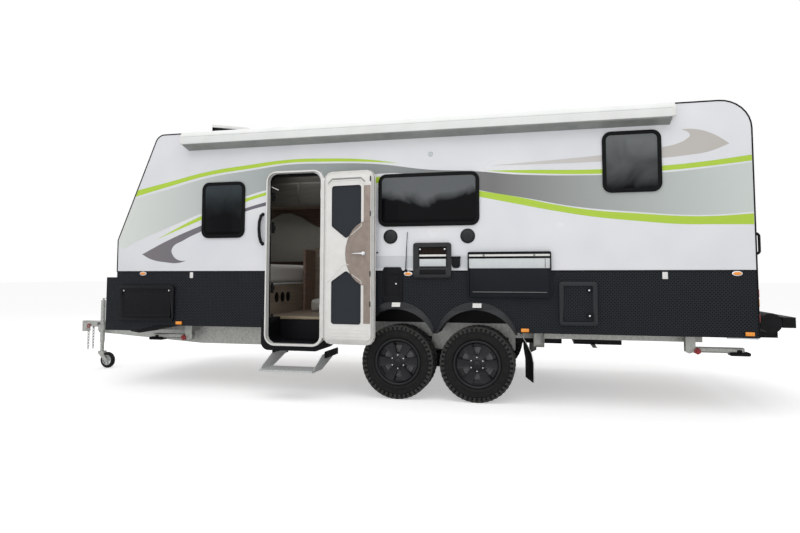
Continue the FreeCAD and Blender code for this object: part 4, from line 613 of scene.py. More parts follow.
def lensPlastic(name, dark, light):
    # Moulded acrylic lens over a lamp: saturated, its prisms drawn as a fine noise bump, and a faint painted glow
    material, tree, shader = startMaterial(name, IOR=1.49, Coat_Weight=0.6)
    mottle(tree, shader, dark, light, 16, (0.12, 0.22), bump=0.4)
    # Painted glow: a faint emission in the paler colour stands in for daylight shining through the lens
    shader.inputs["Emission Color"].default_value = paint(light)
    shader.inputs["Emission Strength"].default_value = 0.12
    return material


def laminate(name, dark, light):
    # Wood-print laminate on ply: long soft figure along the caravan
    material, tree, shader = startMaterial(name, IOR=1.5)
    place, noise = mottle(tree, shader, dark, light, 60, (0.35, 0.45))
    stretch = addNode(tree, "Mapping", {"Scale": (0.2, 0.2, 3)}, {"Vector": (place, "Object")})
    tree.links.new(stretch.outputs["Vector"], noise.inputs["Vector"])
    return material


def anodisedTread():
    # Bright anodised aluminium of the step: pale, with fine ribs across the tread
    material, tree, shader = startMaterial("anodisedStepTread", Metallic=0.35)
    mottle(tree, shader, "#B9BBBB", "#D3D5D5", 18, (0.35, 0.5), bump=0.4)
    return material


def paleEnamel():
    # Pale grey enamel panels of the table and the service hatch
    material, tree, shader = startMaterial("paleGreyEnamel", IOR=1.5)
    mottle(tree, shader, "#CBD0D2", "#D6DADB", 160, (0.25, 0.35))
    return material


def redEnamel():
    # Red enamel on steel nuts and shackles, varying at random between a deeper and a paler red
    material, tree, shader = startMaterial("redEnamelledSteel", IOR=1.5)
    mottle(tree, shader, "#8E2226", "#B23A3A", 14, (0.3, 0.45), bump=0.2)
    return material


def quiltedFabric():
    # Charcoal upholstery of the bedhead: matt woven polyester, drawn at 8 mm so that it shows
    material, tree, shader = startMaterial("wovenPolyester", Sheen_Weight=0.2)
    mottle(tree, shader, "#96948B", "#A3A198", 8, (0.85, 0.95), bump=0.5)
    return material


def satinFrame():
    # Black moulded hatch frames of the boot: satin, so their rounded edges catch the light
    material, tree, shader = startMaterial("satinBlackMoulding", IOR=1.5, Specular_IOR_Level=0.16)
    mottle(tree, shader, "#101114", "#181A1D", 20, (0.28, 0.38), bump=0.15)
    return material


def brownRecess():
    # Brown-black lining of the service recess
    material, tree, shader = startMaterial("brownBlackLining", IOR=1.5, Specular_IOR_Level=0.1)
    mottle(tree, shader, "#17100E", "#241A17", 20, (0.4, 0.5), bump=0.2)
    return material


def risers():
    # Dark blue-grey vinyl of the step well's riser
    material, tree, shader = startMaterial("blueGreyVinyl", IOR=1.5, Specular_IOR_Level=0.25)
    mottle(tree, shader, "#343A49", "#3F4555", 18, (0.45, 0.6), bump=0.3)
    return material


def speakerGrille():
    # Pressed steel grille: holes drawn coarser than the real 3 mm, so that they show
    pitch = 8
    material, tree, shader = startMaterial("perforatedSteelGrille", IOR=1.5, Specular_IOR_Level=0.3,
                                           Roughness=0.35)
    place = addNode(tree, "TexCoord")
    holes = addNode(tree, "TexVoronoi", {"Scale": perMetre(pitch), "Randomness": 0.1},
                    {"Vector": (place, "Object")})
    colours = addNode(tree, "ValToRGB", links={"Fac": (holes, "Distance")})
    colours.color_ramp.elements[0].position = 0.3
    colours.color_ramp.elements[0].color = paint("#0C0D0E")
    colours.color_ramp.elements[1].position = 0.5
    colours.color_ramp.elements[1].color = paint("#232527")
    tree.links.new(colours.outputs["Color"], shader.inputs["Base Color"])
    return material


def bedLinen():
    # Cotton bed linen: matt off-white weave, drawn at 6 mm so that it shows
    material, tree, shader = startMaterial("wovenCottonLinen", Sheen_Weight=0.3)
    mottle(tree, shader, "#CFCBC4", "#DEDBD5", 6, (0.8, 0.95), bump=0.8)
    return material


finishes = {
    "sheet": enamelledSheet(), "plate": checkerPlate(), "black": mouldedBlack(), "slate": slateMoulding(),
    "gloss": glossBlack(), "galvanised": galvanised(), "chassis": blackSteel(), "aluminium": millAluminium(),
    "chrome": chromed(), "tyre": tyreRubber(), "seal": sealRubber(), "alloy": alloyBlack(),
    "white": whiteMoulding(), "case": whiteEnamel(), "shade": awningShade(), "taupe": taupeMoulding(),
    "mesh": insectMesh(), "linen": bedLinen(), "anodised": anodisedTread(), "paleEnamel": paleEnamel(),
    # The last colour of each acrylic is its painted sky reflection
    "bedroomAcrylic": smokedAcrylic("darkAcrylic", 1.95, 2.4, "#3B4246"),
    "dinetteAcrylic": smokedAcrylic("smokedAcrylic", 2.1, 2.2, "#66696B"),
    "ensuiteAcrylic": smokedAcrylic("frostedAcrylic", 2.16, 2.6, "#727576"),
    "redPaint": redEnamel(), "quilt": quiltedFabric(), "satin": satinFrame(), "recess": brownRecess(),
    "riser": risers(), "grille": speakerGrille(), "walnut": laminate("walnutLaminate", "#5A473C", "#6F5A4D"),
    "floor": laminate("floorVinyl", "#94876F", "#A89B82"),
    "cherry": laminate("cherryLaminate", "#957A6C", "#A88D7E"),
    "smoke": laminate("smokeGreyLaminate", "#3A3934", "#46453F"), "lug": treadScuffAndSheen(), "drum": castDrum(),
    "amber": lensPlastic("amberLens", "#D8780A", "#F7A028"),
    "red": lensPlastic("redLens", "#8E1014", "#C8262A"),
    "board": laminate("beigeLaminate", "#8B7D70", "#A89A8A"),
    "lime": vinylFilm("limeFilm", [(-3.6, "#B6D63A"), (3.0, "#B0D032")]),
    "band": vinylFilm("fadingGreyFilm", [
        (-3.8, "#E0E4E0"), (-1.8, "#A0A8A8"), (0.6, "#707070"), (3.0, "#CCD4D0")]),
    "taupeFilm": vinylFilm("taupeFilm", [(-3.5, "#787478"), (-1.9, "#64606C")]),
    "beige": vinylFilm("beigeFilm", [(0.57, "#D2CFCD"), (2.83, "#BDB8B2")]),
    "paleStripe": vinylFilm("paleGreyFilm", [(-0.65, "#CDD0D4"), (0.34, "#D3D6DA")]),
}
print("stage: materials made")


# Frame nodes whose shape is right keep it and get their finish
nodeFinishes = {
    "sheet": ["side_wall_left", "side_wall_right", "front_wall", "rear_wall", "roof_panel"],
    "plate": ["side_skirt_left", "side_skirt_right", "front_boot", "rear_skirt"],
    "black": ["step_well", "water_tanks", "wheel_boxes"],
    "galvanised": ["chassis_rails", "cross_members", "drawbar", "coupling", "safety_chains", "jockey_post",
                   "jockey_slide", "jockey_fork", "chassis_brackets"],
    "chassis": ["axles", "leaf_springs", "rear_bumper"],
    "anodised": ["entry_step"],
    "white": ["entry_door"],
    "board": ["furniture", "floor_panel"],
}


def dressFrame():
    for finishName, names in nodeFinishes.items():
        for name in names:
            slots = frame["nodes"][name].data.materials
            slots.clear()
            slots.append(finishes[finishName])


# Stripes and swooshes: thin film on both sides, cut where windows and door go through
filmLook = {"thick": 0.0006, "lift": 0.0002, "lap": 0.02, "cut": 0.05}
filmOutlines = {
    "upperLime": ("lime", [
        (-3.605, 2.314, 0), (-3.184, 2.399), (-2.684, 2.499), (-2.144, 2.558), (-1.674, 2.595), (-1.218, 2.589),
        (-0.776, 2.559), (-0.393, 2.501, 0), (-0.776, 2.533), (-1.218, 2.553), (-1.673, 2.559), (-2.143, 2.514),
        (-2.683, 2.454), (-3.183, 2.345), (-3.637, 2.237, 0)]),
    "greyBand": ("band", [
        (-3.642, 2.215, 0), (-3.182, 2.315), (-2.682, 2.427), (-2.143, 2.492), (-1.676, 2.538), (-1.224, 2.533),
        (-0.649, 2.502), (-0.076, 2.418), (0.428, 2.379), (0.845, 2.329), (1.652, 2.291), (2.23, 2.292),
        (2.586, 2.316), (3.018, 2.36, 0), (3.018, 1.894, 0), (2.686, 1.874), (2.389, 1.881), (2.021, 1.914),
        (1.404, 1.986), (0.97, 2.077), (0.474, 2.178), (0.1, 2.28), (-0.381, 2.39), (-0.649, 2.393),
        (-1.292, 2.351), (-1.94, 2.26), (-2.187, 2.198), (-2.756, 2.015), (-3.345, 1.799), (-3.559, 1.719),
        (-3.64, 1.685), (-3.748, 1.63), (-3.832, 1.639), (-3.856, 1.723, 0)]),
    "lowerLimeFront": ("lime", [
        (-3.336, 1.723, 0), (-2.745, 1.988), (-2.189, 2.172), (-1.9, 2.247, 0), (-1.9, 2.212, 0),
        (-2.189, 2.135), (-2.744, 1.943)]),
    "lowerLimeMiddle": ("lime", [(-1.28, 2.31, 0), (-0.6, 2.362, 0), (-0.6, 2.296, 0), (-1.28, 2.25, 0)]),
    "taupeSwoosh": ("taupeFilm", [
        (-3.524, 1.549, 0), (-3.171, 1.714), (-2.742, 1.877), (-2.187, 2.062), (-1.9, 2.135, 0),
        (-1.9, 2.093, 0), (-2.186, 2.025), (-2.741, 1.81), (-2.97, 1.711), (-3.128, 1.606), (-3.111, 1.534),
        (-3.042, 1.48), (-2.936, 1.468, 0), (-3.055, 1.444), (-3.191, 1.452), (-3.397, 1.488)]),
    "upperLimeRear": ("lime", [
        (0.521, 2.381, 0), (0.974, 2.37), (1.653, 2.348), (2.236, 2.36), (2.588, 2.383), (3.018, 2.43, 0),
        (3.018, 2.375, 0), (2.587, 2.334), (2.235, 2.311), (1.652, 2.304), (0.973, 2.337)]),
    "lowerLimeRear": ("lime", [
        (0.44, 2.178, 0), (0.842, 2.1), (1.22, 2.01), (1.585, 1.944), (2.021, 1.9), (2.394, 1.868),
        (2.684, 1.861), (3.018, 1.877, 0), (3.018, 1.776, 0), (2.682, 1.783), (2.392, 1.79), (2.019, 1.826),
        (1.584, 1.88), (1.219, 1.947), (0.842, 2.028), (0.44, 2.118, 0)]),
    "beigeSwoosh": ("beige", [
        (0.574, 2.432, 0), (1.101, 2.456), (1.656, 2.488), (2.241, 2.541), (2.367, 2.566), (2.46, 2.611),
        (2.489, 2.647), (2.417, 2.707, 0), (2.542, 2.7), (2.675, 2.655), (2.772, 2.594), (2.832, 2.546, 0),
        (2.647, 2.478), (2.478, 2.455), (2.238, 2.436), (1.655, 2.425), (0.971, 2.426)]),
    "paleStripe": ("paleStripe", [
        (-0.66, 1.379, 0), (-0.66, 1.507, 0), (0.34, 1.507, 0), (0.34, 1.379, 0)]),
}
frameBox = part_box("door_frame")
windowLooks = {
    "bedroom": (-2.735, -2.195, 1.727, 2.37),
    "dinette": (-0.617, 0.464, 1.818, 2.382),
    "ensuite": (1.68, 2.229, 2.11, 2.716),
}
windowTrim = {"corner": 0.085, "proud": 0.018, "rim": 0.034, "roundOver": 0.007, "seam": 0.0035,
              "seamOut": 0.0125, "pane": (0.012, 0.004), "paneEdge": 0.003}


def makeFilms():
    lap, cut, corner = filmLook["lap"], filmLook["cut"], windowTrim["corner"] - filmLook["lap"]
    windows = []
    for x0, x1, z0, z1 in windowLooks.values():
        opening = roundedBox(x0 + axleMiddle + lap, x1 + axleMiddle - lap, z0 + lap, z1 - lap, corner)
        windows.append(addPlate("cutter", opening, leftFace - cut, leftFace + cut))
    farCutters = join("farCutters", [mirrored(window, "farCutter") for window in windows])
    low, high = frameBox
    doorway = addBlock("cutter", (low.x + lap, leftFace - cut, low.z), (high.x - lap, leftFace + cut, high.z - lap))
    nearCutters = join("nearCutters", [*windows, doorway])
    outer = leftFace - filmLook["lift"]
    for name, (colour, outline) in filmOutlines.items():
        near = addPlate(name, onWall(outline), outer - filmLook["thick"], outer, soft=True)
        far = mirrored(near, name + "Far")
        for piece, cutter in ((near, nearCutters), (far, farCutters)):
            modify(piece, "BOOLEAN", operation="DIFFERENCE", object=cutter, solver="EXACT")
            finish(piece, finishes[colour], smooth=20)
    for cutter in (nearCutters, farCutters):
        bpy.data.objects.remove(cutter)


# Mouldings round the edges of the side walls
edgeLook = {"radius": 0.0085, "sunk": 0.4, "rakeStart": 1.72, "rakeRun": 0.515, "frontCorner": 0.12,
            "rearCorner": 0.28, "beltRadius": 0.006}


def makeEdges():
    look = edgeLook
    rake = (frontFace, look["rakeStart"])
    corner = roundedPath([(*rake, 0), (frontFace + look["rakeRun"], roofTop, look["frontCorner"]),
                          (rearFace, roofTop, look["rearCorner"]), (rearFace, skirtBottom, 0)], 8)
    y = leftFace + look["radius"] * look["sunk"]
    line = [(frontFace, belt), rake, *corner[1:]]
    bars = [addBar("wallEdge", [(x, y, z) for x, z in line], look["radius"])]
    for name, start, end in (("beltLine", frontFace, frameBox[0].x), ("rearBelt", frameBox[1].x, rearFace)):
        bars.append(addBar(name, [(start, leftFace, belt), (end, leftFace, belt)], look["beltRadius"]))
    for bar in bars:
        finishPair(bar, finishes["seal"])


# Windows: a rounded black surround, and a pane of acrylic a little behind its face
def makeWindows():
    look, surrounds = windowTrim, []
    rim = look["rim"]
    for name, (x0, x1, z0, z1) in windowLooks.items():
        left, right = x0 + axleMiddle, x1 + axleMiddle
        inner = roundedBox(left + rim, right - rim, z0 + rim, z1 - rim, look["corner"] - rim)
        outer = roundedBox(left, right, z0, z1, look["corner"])
        surround = addPlate(name + "Surround", outer, leftFace - look["proud"], leftFace, [inner])
        surrounds.append(roundEdges(surround, look["roundOver"], 3))
        seam = [(x, leftFace - look["seamOut"], z) for x, z in inner]
        surrounds.append(addBar(name + "Seam", seam, look["seam"], cyclic=True, sides=2))
        front, back = look["pane"]
        pane = roundEdges(addPlate(name + "Pane", inner, leftFace - front, leftFace - back), look["paneEdge"])
        finishPair(pane, finishes[name + "Acrylic"],
                   ["window_panes"] if name == "bedroom" else ())
    finishPair(join("windowSurrounds", surrounds), finishes["seal"], ["window_frames"])


# The leaf is modelled closed, counted from its hinge, and then swung to where it stands
doorHinge = next(joint for joint in frame["joints"] if joint["name"] == "entry_door_hinge")
leafPlace = (Matrix.Translation((doorHinge["pos_m"][0], doorHinge["pos_m"][1], 0))
             @ Matrix.Rotation(math.radians(-doorHinge["range_deg"][0]), 4, "Z"))
leafLook = {
    "face": 0.0545, "thick": 0.024, "left": -0.612, "right": -0.098, "bottom": 0.627, "top": 2.365,
    "corner": 0.04, "mesh": (-0.505, -0.158), "meshCorner": 0.034,
    "upper": (2.261, 1.821, 1.684), "lower": (0.784, 1.239, 1.355),  # side corner, shoulder and tip of a mesh
    "arch": (2.27, 2.315), "chevron": (1.23, 1.415), "footRidges": (0.665, 0.7, 0.735),
    "strip": (-0.606, -0.53), "stripSpan": (0.8, 2.25), "clips": (0.975, 1.29, 1.92, 2.29), "clipLong": 0.055,
    "lockHeight": 1.53, "lockRadius": (0.279, 0.345), "leverX": -0.53,
    "edge": (-0.628, -0.048), "edgeSpan": (0.577, 2.415), "edgeCorner": 0.09,
}
leafFront = leafLook["face"] + leafLook["thick"]


def onLeaf(piece, material, instead=()):
    piece.data.transform(leafPlace)
    return finish(piece, finishes[material], "door", instead=instead)


def leafBar(name, points, sunk, radius, cyclic=False):  # a ridge on the leaf's inner face
    return addBar(name, [(x, leafFront - sunk, z) for x, z in points], radius, cyclic)


def leafOutline(left, right, levels, corner):
    point = (left + right) / 2
    flat, shoulder, tip = levels
    return roundedPath([(left, flat, corner), (left, shoulder, corner), (point, tip, corner),
                        (right, shoulder, corner), (right, flat, corner)], 4)


def makeScreenDoor():
    look = leafLook
    left, right = look["mesh"]
    middle = (left + right) / 2
    meshes = [leafOutline(left, right, look[level], look["meshCorner"]) for level in ("upper", "lower")]
    outer = roundedBox(look["left"], look["right"], look["bottom"], look["top"], look["corner"])
    pieces = [roundEdges(addPlate("screenMoulding", outer, look["face"], leafFront - 0.004, meshes), 0.005, 3)]
    pieces += [leafBar("meshRidge", outline, 0.005, 0.0045, True) for outline in meshes]
    foot, crownWearAndSheen = look["arch"]
    arch = [(left - 0.035, foot), (left + 0.01, crownWearAndSheen), (right - 0.01, crownWearAndSheen), (right + 0.035, foot)]
    pieces.append(leafBar("archRidge", arch, 0.004, 0.008))
    low, high = look["chevron"]
    pieces.append(leafBar("chevronRidge", [(right + 0.04, low), (middle + 0.03, high), (middle - 0.03, high)],
                          0.004, 0.0055))
    for z in look["footRidges"]:
        pieces.append(leafBar("footRidge", [(look["left"] + 0.04, z), (look["right"] - 0.04, z)], 0.005, 0.004))
    onLeaf(join("screenDoorMoulding", pieces), "white", ["screen_door"])
    # Painted shade: a grey bar above the arch ridge stands for the shadow in the groove there
    onLeaf(leafBar("archGrooveShadow", [(x, z + 0.017) for x, z in arch], 0.0075, 0.01), "shade")
    nets = [addPlate("net", outline, look["face"] + 0.006, look["face"] + 0.009) for outline in meshes]
    onLeaf(join("insectMeshPanels", nets), "mesh")


def makeLockSide():
    look = leafLook
    (left, right), (low, high) = look["strip"], look["stripSpan"]
    strip = addBlock("strip", (left, leafFront - 0.006, low), (right, leafFront - 0.001, high), 0.0015)
    height, (wide, tall) = look["lockHeight"], look["lockRadius"]
    turns = [math.radians(-90 + 180 * step / 16) for step in range(17)]
    arc = [(left + wide * math.cos(turn), height + tall * math.sin(turn)) for turn in turns]
    dish = addPlate("dish", arc, leafFront - 0.006, leafFront - 0.0015)
    onLeaf(join("lockMoulding", [strip, dish]), "taupe")
    innerArc = [(left + 0.8 * wide * math.cos(turn), height + 0.84 * tall * math.sin(turn))
                for turn in turns[3:-3]]
    edging = [leafBar("rim", arc, 0.004, 0.0065), leafBar("groove", innerArc, 0.0025, 0.004)]
    for rise in (-0.09, 0.09):
        ends = [(left + 0.03, height + rise), (left + 0.12, height + rise * 1.7)]
        edging.append(leafBar("slat", ends, 0.003, 0.004))
    onLeaf(join("lockRims", edging), "taupe")
    clips = [addBlock("clip", (left - 0.004, leafFront - 0.004, z), (left + 0.008, leafFront, z + look["clipLong"]))
             for z in look["clips"]]
    onLeaf(join("stripClips", clips), "black")


def makeLever():
    height, x = leafLook["lockHeight"], leafLook["leverX"]
    boss = addDrum("boss", (x, leafFront + 0.006, height), 0.021, 0.014, bevel=0.003)
    neck = addDrum("neck", (x, leafFront + 0.014, height), 0.012, 0.012)
    lever = addBlock("lever", (x - 0.012, leafFront + 0.014, height - 0.009),
                     (x + 0.125, leafFront + 0.024, height + 0.009))
    chooseFaces(lever, lambda face: face.normal.x > 0.9)
    bpy.ops.transform.resize(value=(1, 0.7, 0.6))
    bpy.ops.transform.translate(value=(0, -0.004, 0))
    bpy.ops.object.mode_set(mode="OBJECT")
    roundEdges(lever, 0.004, 3)
    onLeaf(join("leverHandle", [boss, neck, lever]), "chrome", ["door_lever"])


def makeLeafSeal():
    (left, right), (low, high) = leafLook["edge"], leafLook["edgeSpan"]
    outline = roundedBox(left, right, low, high, leafLook["edgeCorner"], 8)
    seal = addBar("leafSeal", [(x, 0.012, z) for x, z in outline], 0.005, cyclic=True)
    bead = addBar("leafBead", [(x * 0.98 - 0.006, 0.0165, z) for x, z in outline], 0.004, cyclic=True)
    flange = addBlock("hingeFlange", (-0.05, 0.001, low + 0.052), (-0.009, 0.015, high - 0.052), 0.005, 3)
    onLeaf(seal, "seal")
    onLeaf(bead, "white")
    onLeaf(flange, "white")


# Door frame: a white ring, a grey seal line inside it that is painted shade for the gap between bead and lip, and a
# dark rebate that the closed leaf meets, made deep across the top as painted shade
frameLook = {"left": 0.034, "right": 0.012, "bottom": 0.024, "top": 0.018, "corner": 0.09, "beyond": 0.018,
             "shadedHeader": 0.055, "lining": 0.004, "seal": 0.0045, "sealOut": 0.038}


def makeDoorFrame():
    look, low, high = frameLook, *frameBox
    left, right = low.x + look["left"], high.x - look["right"]
    bottom, top = low.z + look["bottom"], high.z - look["top"]
    corner, thin = look["corner"], look["lining"]
    outer = roundedBox(low.x + look["beyond"], high.x + look["beyond"], low.z, high.z, corner + 0.03, 8)
    inner = roundedBox(left, right, bottom, top, corner, 8)
    ring = roundEdges(addPlate("doorFrameMoulding", outer, low.y, high.y, [inner]), 0.007, 3)
    finish(ring, finishes["white"], instead=["door_frame"])
    band = roundedBox(left - 0.001, right + 0.001, bottom - 0.001, top + 0.001, corner + 0.001, 8)
    # Painted shade: the plate across the top of the reveal is deeper, a dark band standing for the shadow under the
    # top of the doorway
    reveal, underShadedHeader = (roundedBox(left + thin, right - thin, bottom + thin, head, corner - thin, 8)
                           for head in (top - thin, high.z - look["shadedHeader"]))
    lining = [addPlate("revealLining", band, leftFace + 0.02, high.y, [reveal]),
              addPlate("shadedHeader", band, leftFace + 0.03, high.y + 0.002, [underShadedHeader])]
    finish(roundEdges(join("revealLining", lining), 0.0015), finishes["seal"])
    # Painted shade: this grey bar stands for the shaded gap between the ring's outer bead and its inner lip
    seal = addBar("frameShadeLine", [(x, leftFace - look["sealOut"], z) for x, z in band], look["seal"], cyclic=True)
    finish(seal, finishes["shade"])


# Wheels: tyre with sidewall rings and lugs, six-spoke rim with studs and cap, brake drum behind it
tyreLook = {"tip": 0.3875, "tread": 0.374, "half": 0.1225, "bead": 0.2322, "sectors": 46, "foot": 0.368,
            "rows": ((-0.1185, -0.078, 0.03, 0), (-0.068, -0.026, 0.032, 0.4), (-0.018, 0.018, 0.026, 0),
                     (0.026, 0.068, 0.032, 0.6), (0.078, 0.1185, 0.03, 0)),  # from, to, length, shift in sectors
            "shoulder": (0.014, 0.1095, 0.0125, 0.337, 0.383)}
rimLook = {"edge": 0.2318, "skin": 0.012, "lip": 0.110, "face": -0.077, "back": -0.039, "boss": -0.095,
           "bossRadius": 0.058, "spokes": 6, "spokeHalf": 0.03, "spokeFlare": 1.9, "studRing": 0.07,
           "studRadius": 0.007, "drum": 0.172}


def tyreShape():
    look = tyreLook
    half, bead, tread = look["half"], look["bead"], look["tread"]
    side = [(bead, 0.093), (0.237, 0.0985), (0.248, 0.1), (0.253, 0.112), (0.262, half - 0.003),
            (0.272, half), (0.278, half), (0.282, half - 0.003), (0.318, half - 0.004), (0.322, half - 0.001),
            (0.33, half - 0.002), (0.334, half - 0.006), (0.352, half - 0.01), (0.366, half - 0.018),
            (tread, half - 0.03)]
    body = addTurned("tyreBody", side + [(radius, -along) for radius, along in reversed(side)], (0, 0, 0), 96)
    sector = 2 * math.pi / look["sectors"]
    lugs = []
    for low, high, length, shift in look["rows"]:
        lug = addBlock("lug", (-length / 2, low, look["foot"]), (length / 2, high, look["tip"] - 0.0008))
        chooseFaces(lug, lambda face: face.normal.z > 0.9)
        bpy.ops.transform.resize(value=(0.88, 0.92, 1))
        bpy.ops.object.mode_set(mode="OBJECT")
        lug.data.transform(turnedAbout((0, 0, 0), sector * shift, "Y"))
        lugs.append(lug)
    long, middle, wide, foot, tip = look["shoulder"]
    for side in (-1, 1):
        shoulder = addBlock("lug", (-long, side * middle - wide, foot), (long, side * middle + wide, tip))
        shoulder.data.transform(turnedAbout((0, 0, 0), sector * 0.5, "Y"))
        lugs.append(shoulder)
    ring = join("lugs", lugs)
    step = bpy.data.objects.new("lugStep", None)
    bpy.context.scene.collection.objects.link(step)
    step.rotation_euler = (0, sector, 0)
    bpy.context.view_layer.update()
    modify(ring, "ARRAY", count=look["sectors"], use_relative_offset=False, use_object_offset=True,
           offset_object=step)
    bpy.data.objects.remove(step)
    return body, ring


def rimShape():
    look = rimLook
    edge, skin, lip, face, back = look["edge"], look["skin"], look["lip"], look["face"], look["back"]
    inside, drum = edge - skin, look["drum"]
    barrel = addTurned("barrel", [
        (edge, -lip + 0.014), (edge, lip), (inside, lip), (inside - 0.004, 0.0), (inside - 0.012, back),
        (inside - 0.012, face - 0.004), (inside, face - 0.016), (inside + 0.004, -lip + 0.004),
        (inside + 0.01, -lip), (0.2435, -lip + 0.0005), (0.2465, -lip + 0.004), (0.2455, -lip + 0.009)],
        (0, 0, 0), 72)
    shroud = addTurned("shroud", [
        (drum, back + 0.008), (inside - 0.006, back + 0.004), (inside - 0.006, back + 0.012),
        (drum, back + 0.02)], (0, 0, 0), 48)
    bossRadius, boss = look["bossRadius"], look["boss"]
    hub = addTurned("hub", [
        (0.0005, boss + 0.004), (0.036, boss + 0.004), (0.038, boss), (0.044, boss), (0.046, boss + 0.006),
        (bossRadius + 0.03, face + 0.004), (bossRadius + 0.04, back), (0.0005, back)], (0, 0, 0), 48)
    cap = addTurned("cap", [(0.0005, boss), (0.02, boss + 0.0005), (0.032, boss + 0.004),
                            (0.033, boss + 0.01), (0.0005, boss + 0.01)], (0, 0, 0), 40)
    spokes = []
    for number in range(look["spokes"]):
        spoke = addBlock("spoke", (-look["spokeHalf"], face, 0.06), (look["spokeHalf"], back, inside - 0.002))
        chooseFaces(spoke, lambda face: face.normal.z > 0.9)
        bpy.ops.transform.resize(value=(look["spokeFlare"], 1, 1))
        bpy.ops.object.mode_set(mode="OBJECT")
        insetFaces(spoke, lambda face: face.normal.y < -0.9, 0.008, -0.006)
        roundEdges(spoke, 0.0035, 2, 25)
        spoke.data.transform(turnedAbout((0, 0, 0), math.radians(30 + 60 * number), "Y"))
        spokes.append(spoke)
    return join("rim", [barrel, shroud, hub, cap, *spokes])


def drumShape():
    back, drum = rimLook["back"], rimLook["drum"]
    return addTurned("drum", [
        (0.05, back + 0.002), (0.105, back + 0.006), (0.11, back + 0.012), (drum - 0.004, back + 0.014),
        (drum, back + 0.02), (drum, back + 0.06), (0.05, back + 0.06)], (0, 0, 0), 48)


def studShape():
    look, studs = rimLook, []
    for number in range(look["spokes"]):
        turn = math.radians(60 * number)
        place = (look["studRing"] * math.sin(turn), look["face"] - 0.008, look["studRing"] * math.cos(turn))
        studs.append(addDrum("stud", place, look["studRadius"], 0.022, sides=12, bevel=0.002))
    return join("studs", studs)


def makeWheels():
    rubber, tread = tyreShape()
    masters = ((rubber, "tyre_{}_rubber", "tyre", "rubber", 28, "tyre_{}"),
               (tread, "tyre_{}_tread", "lug", "rubber", 28, ""),
               (drumShape(), "drum_{}", "drum", "black_steel", 35, ""),
               (rimShape(), "rim_{}_alloy", "alloy", "black_alloy", 30, "rim_{}"),
               (studShape(), "studs_{}", "chrome", "galvanised", 35, ""))
    for end, x in (("front", frontAxle), ("rear", rearAxle)):
        for side, turn in (("left", 0), ("right", math.pi)):
            low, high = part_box(f"tyre_front_{side}")
            place = Matrix.Translation((x, (low.y + high.y) / 2, wheelHeight)) @ Matrix.Rotation(turn, 4, "Z")
            for master, name, material, slot, smooth, node in masters:
                piece = copyPiece(master, name.format(f"{end}_{side}"), place)
                finish(piece, finishes[material], f"wheel_{end}_{side}", smooth,
                       [node.format(f"{end}_{side}")] if node else ())
    for master, *others in masters:
        bpy.data.objects.remove(master)


# Side lamps on the skirt, oval markers under the belt, tail lamps
lampLook = {"square": ((-3.003, 0.755), (0.912, 0.752), (2.946, 0.76)),
            "oval": ((-3.495, 1.322), (-0.29, 1.318), (2.857, 1.318)),
            "tail": ((0.86, "red"), (1.0, "amber"), (1.09, "red")), "tailHigh": 0.085, "tailWide": (0.06, 0.19)}


def makeLamps():
    look, reach = lampLook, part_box("lamps")[1].x
    bases, lenses, bezels = [], [], []
    for x, z in look["square"]:
        bases.append(wallBlock("lampBase", x - 0.042, x + 0.042, z - 0.02, z + 0.02, 0.006))
        lenses.append(wallBlock("lampLens", x - 0.039, x + 0.039, z - 0.018, z + 0.018, 0.02, 0.005, 0.005))
    for x, z in look["oval"]:
        x += axleMiddle
        bezels.append(roundEdges(addPlate("bezel", ovalRing(x, z, 0.046, 0.023), leftFace - 0.012, leftFace), 0.003))
        lens = addPlate("lens", ovalRing(x, z, 0.036, 0.015), leftFace - 0.018, leftFace - 0.004)
        lenses.append(roundEdges(lens, 0.004))
    finishPair(join("sideLenses", lenses), finishes["amber"], ["lamps"])
    finishPair(join("lampBases", bases), finishes["black"])
    finishPair(join("markerBezels", bezels), finishes["chrome"])
    near, far = (leftFace + step for step in look["tailWide"])
    for number, (bottom, colour) in enumerate(look["tail"]):
        lens = addBlock(f"tailLens{number}", (rearFace + 0.004, near, bottom), (reach, far, bottom + look["tailHigh"]),
                        0.01, 3)
        finishPair(lens, finishes[colour])


# Awning: rounded case, grey lead rail along its slanted underside, end caps
awningLook = {"cap": 0.028, "groove": 0.0018, "grooveDown": 0.062}


def makeAwning():
    low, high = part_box("awning_cassette")
    out, top, bottom, cap = low.y, high.z, low.z, awningLook["cap"]
    left, right, wall = low.x + cap, high.x - cap, leftFace - 0.0005
    upper = [(wall, top - 0.004, 0), (out + 0.03, top, 0.02), (out, top - 0.05, 0.03)]
    shell = roundedPath([(wall, bottom + 0.012, 0), *upper, (out, bottom + 0.05, 0.004),
                         (out + 0.03, bottom + 0.045, 0)], 5)
    endShell = roundedPath([(wall, bottom + 0.048, 0), *upper, (out, bottom + 0.054, 0.004),
                            (out + 0.02, bottom + 0.048, 0)], 5)
    case = addSection("awningCase", shell, left, right)
    finish(case, finishes["case"], instead=["awning_cassette"])
    rail = addSection("awningRail", [
        (wall - 0.0003, bottom), (wall - 0.0003, bottom + 0.014), (out + 0.028, bottom + 0.047),
        (out + 0.006, bottom + 0.047), (out + 0.01, bottom + 0.036)], left, right)
    finish(roundEdges(rail, 0.003), finishes["shade"], smooth=20)
    for name, x in (("awningCapFront", low.x), ("awningCapRear", right)):
        finish(roundEdges(addSection(name, endShell, x, x + cap), 0.004), finishes["white"])
    line = [(x, out + 0.0015, top - awningLook["grooveDown"]) for x in (left, right)]
    finish(addBar("awningGroove", line, awningLook["groove"]), finishes["shade"])


# Folding table on the wall: black tray, white rail with catches, pale panel, blue-black lower leaf
tableLook = {"rim": 0.013, "corner": 0.018, "rail": (1.493, 1.514), "panel": (1.373, 1.472), "seam": 1.115,
             "hinge": (1.474, 1.491), "leafTop": 1.36, "groove": 1.13, "catches": (0.507, 1.012), "catchHeight": 1.503}


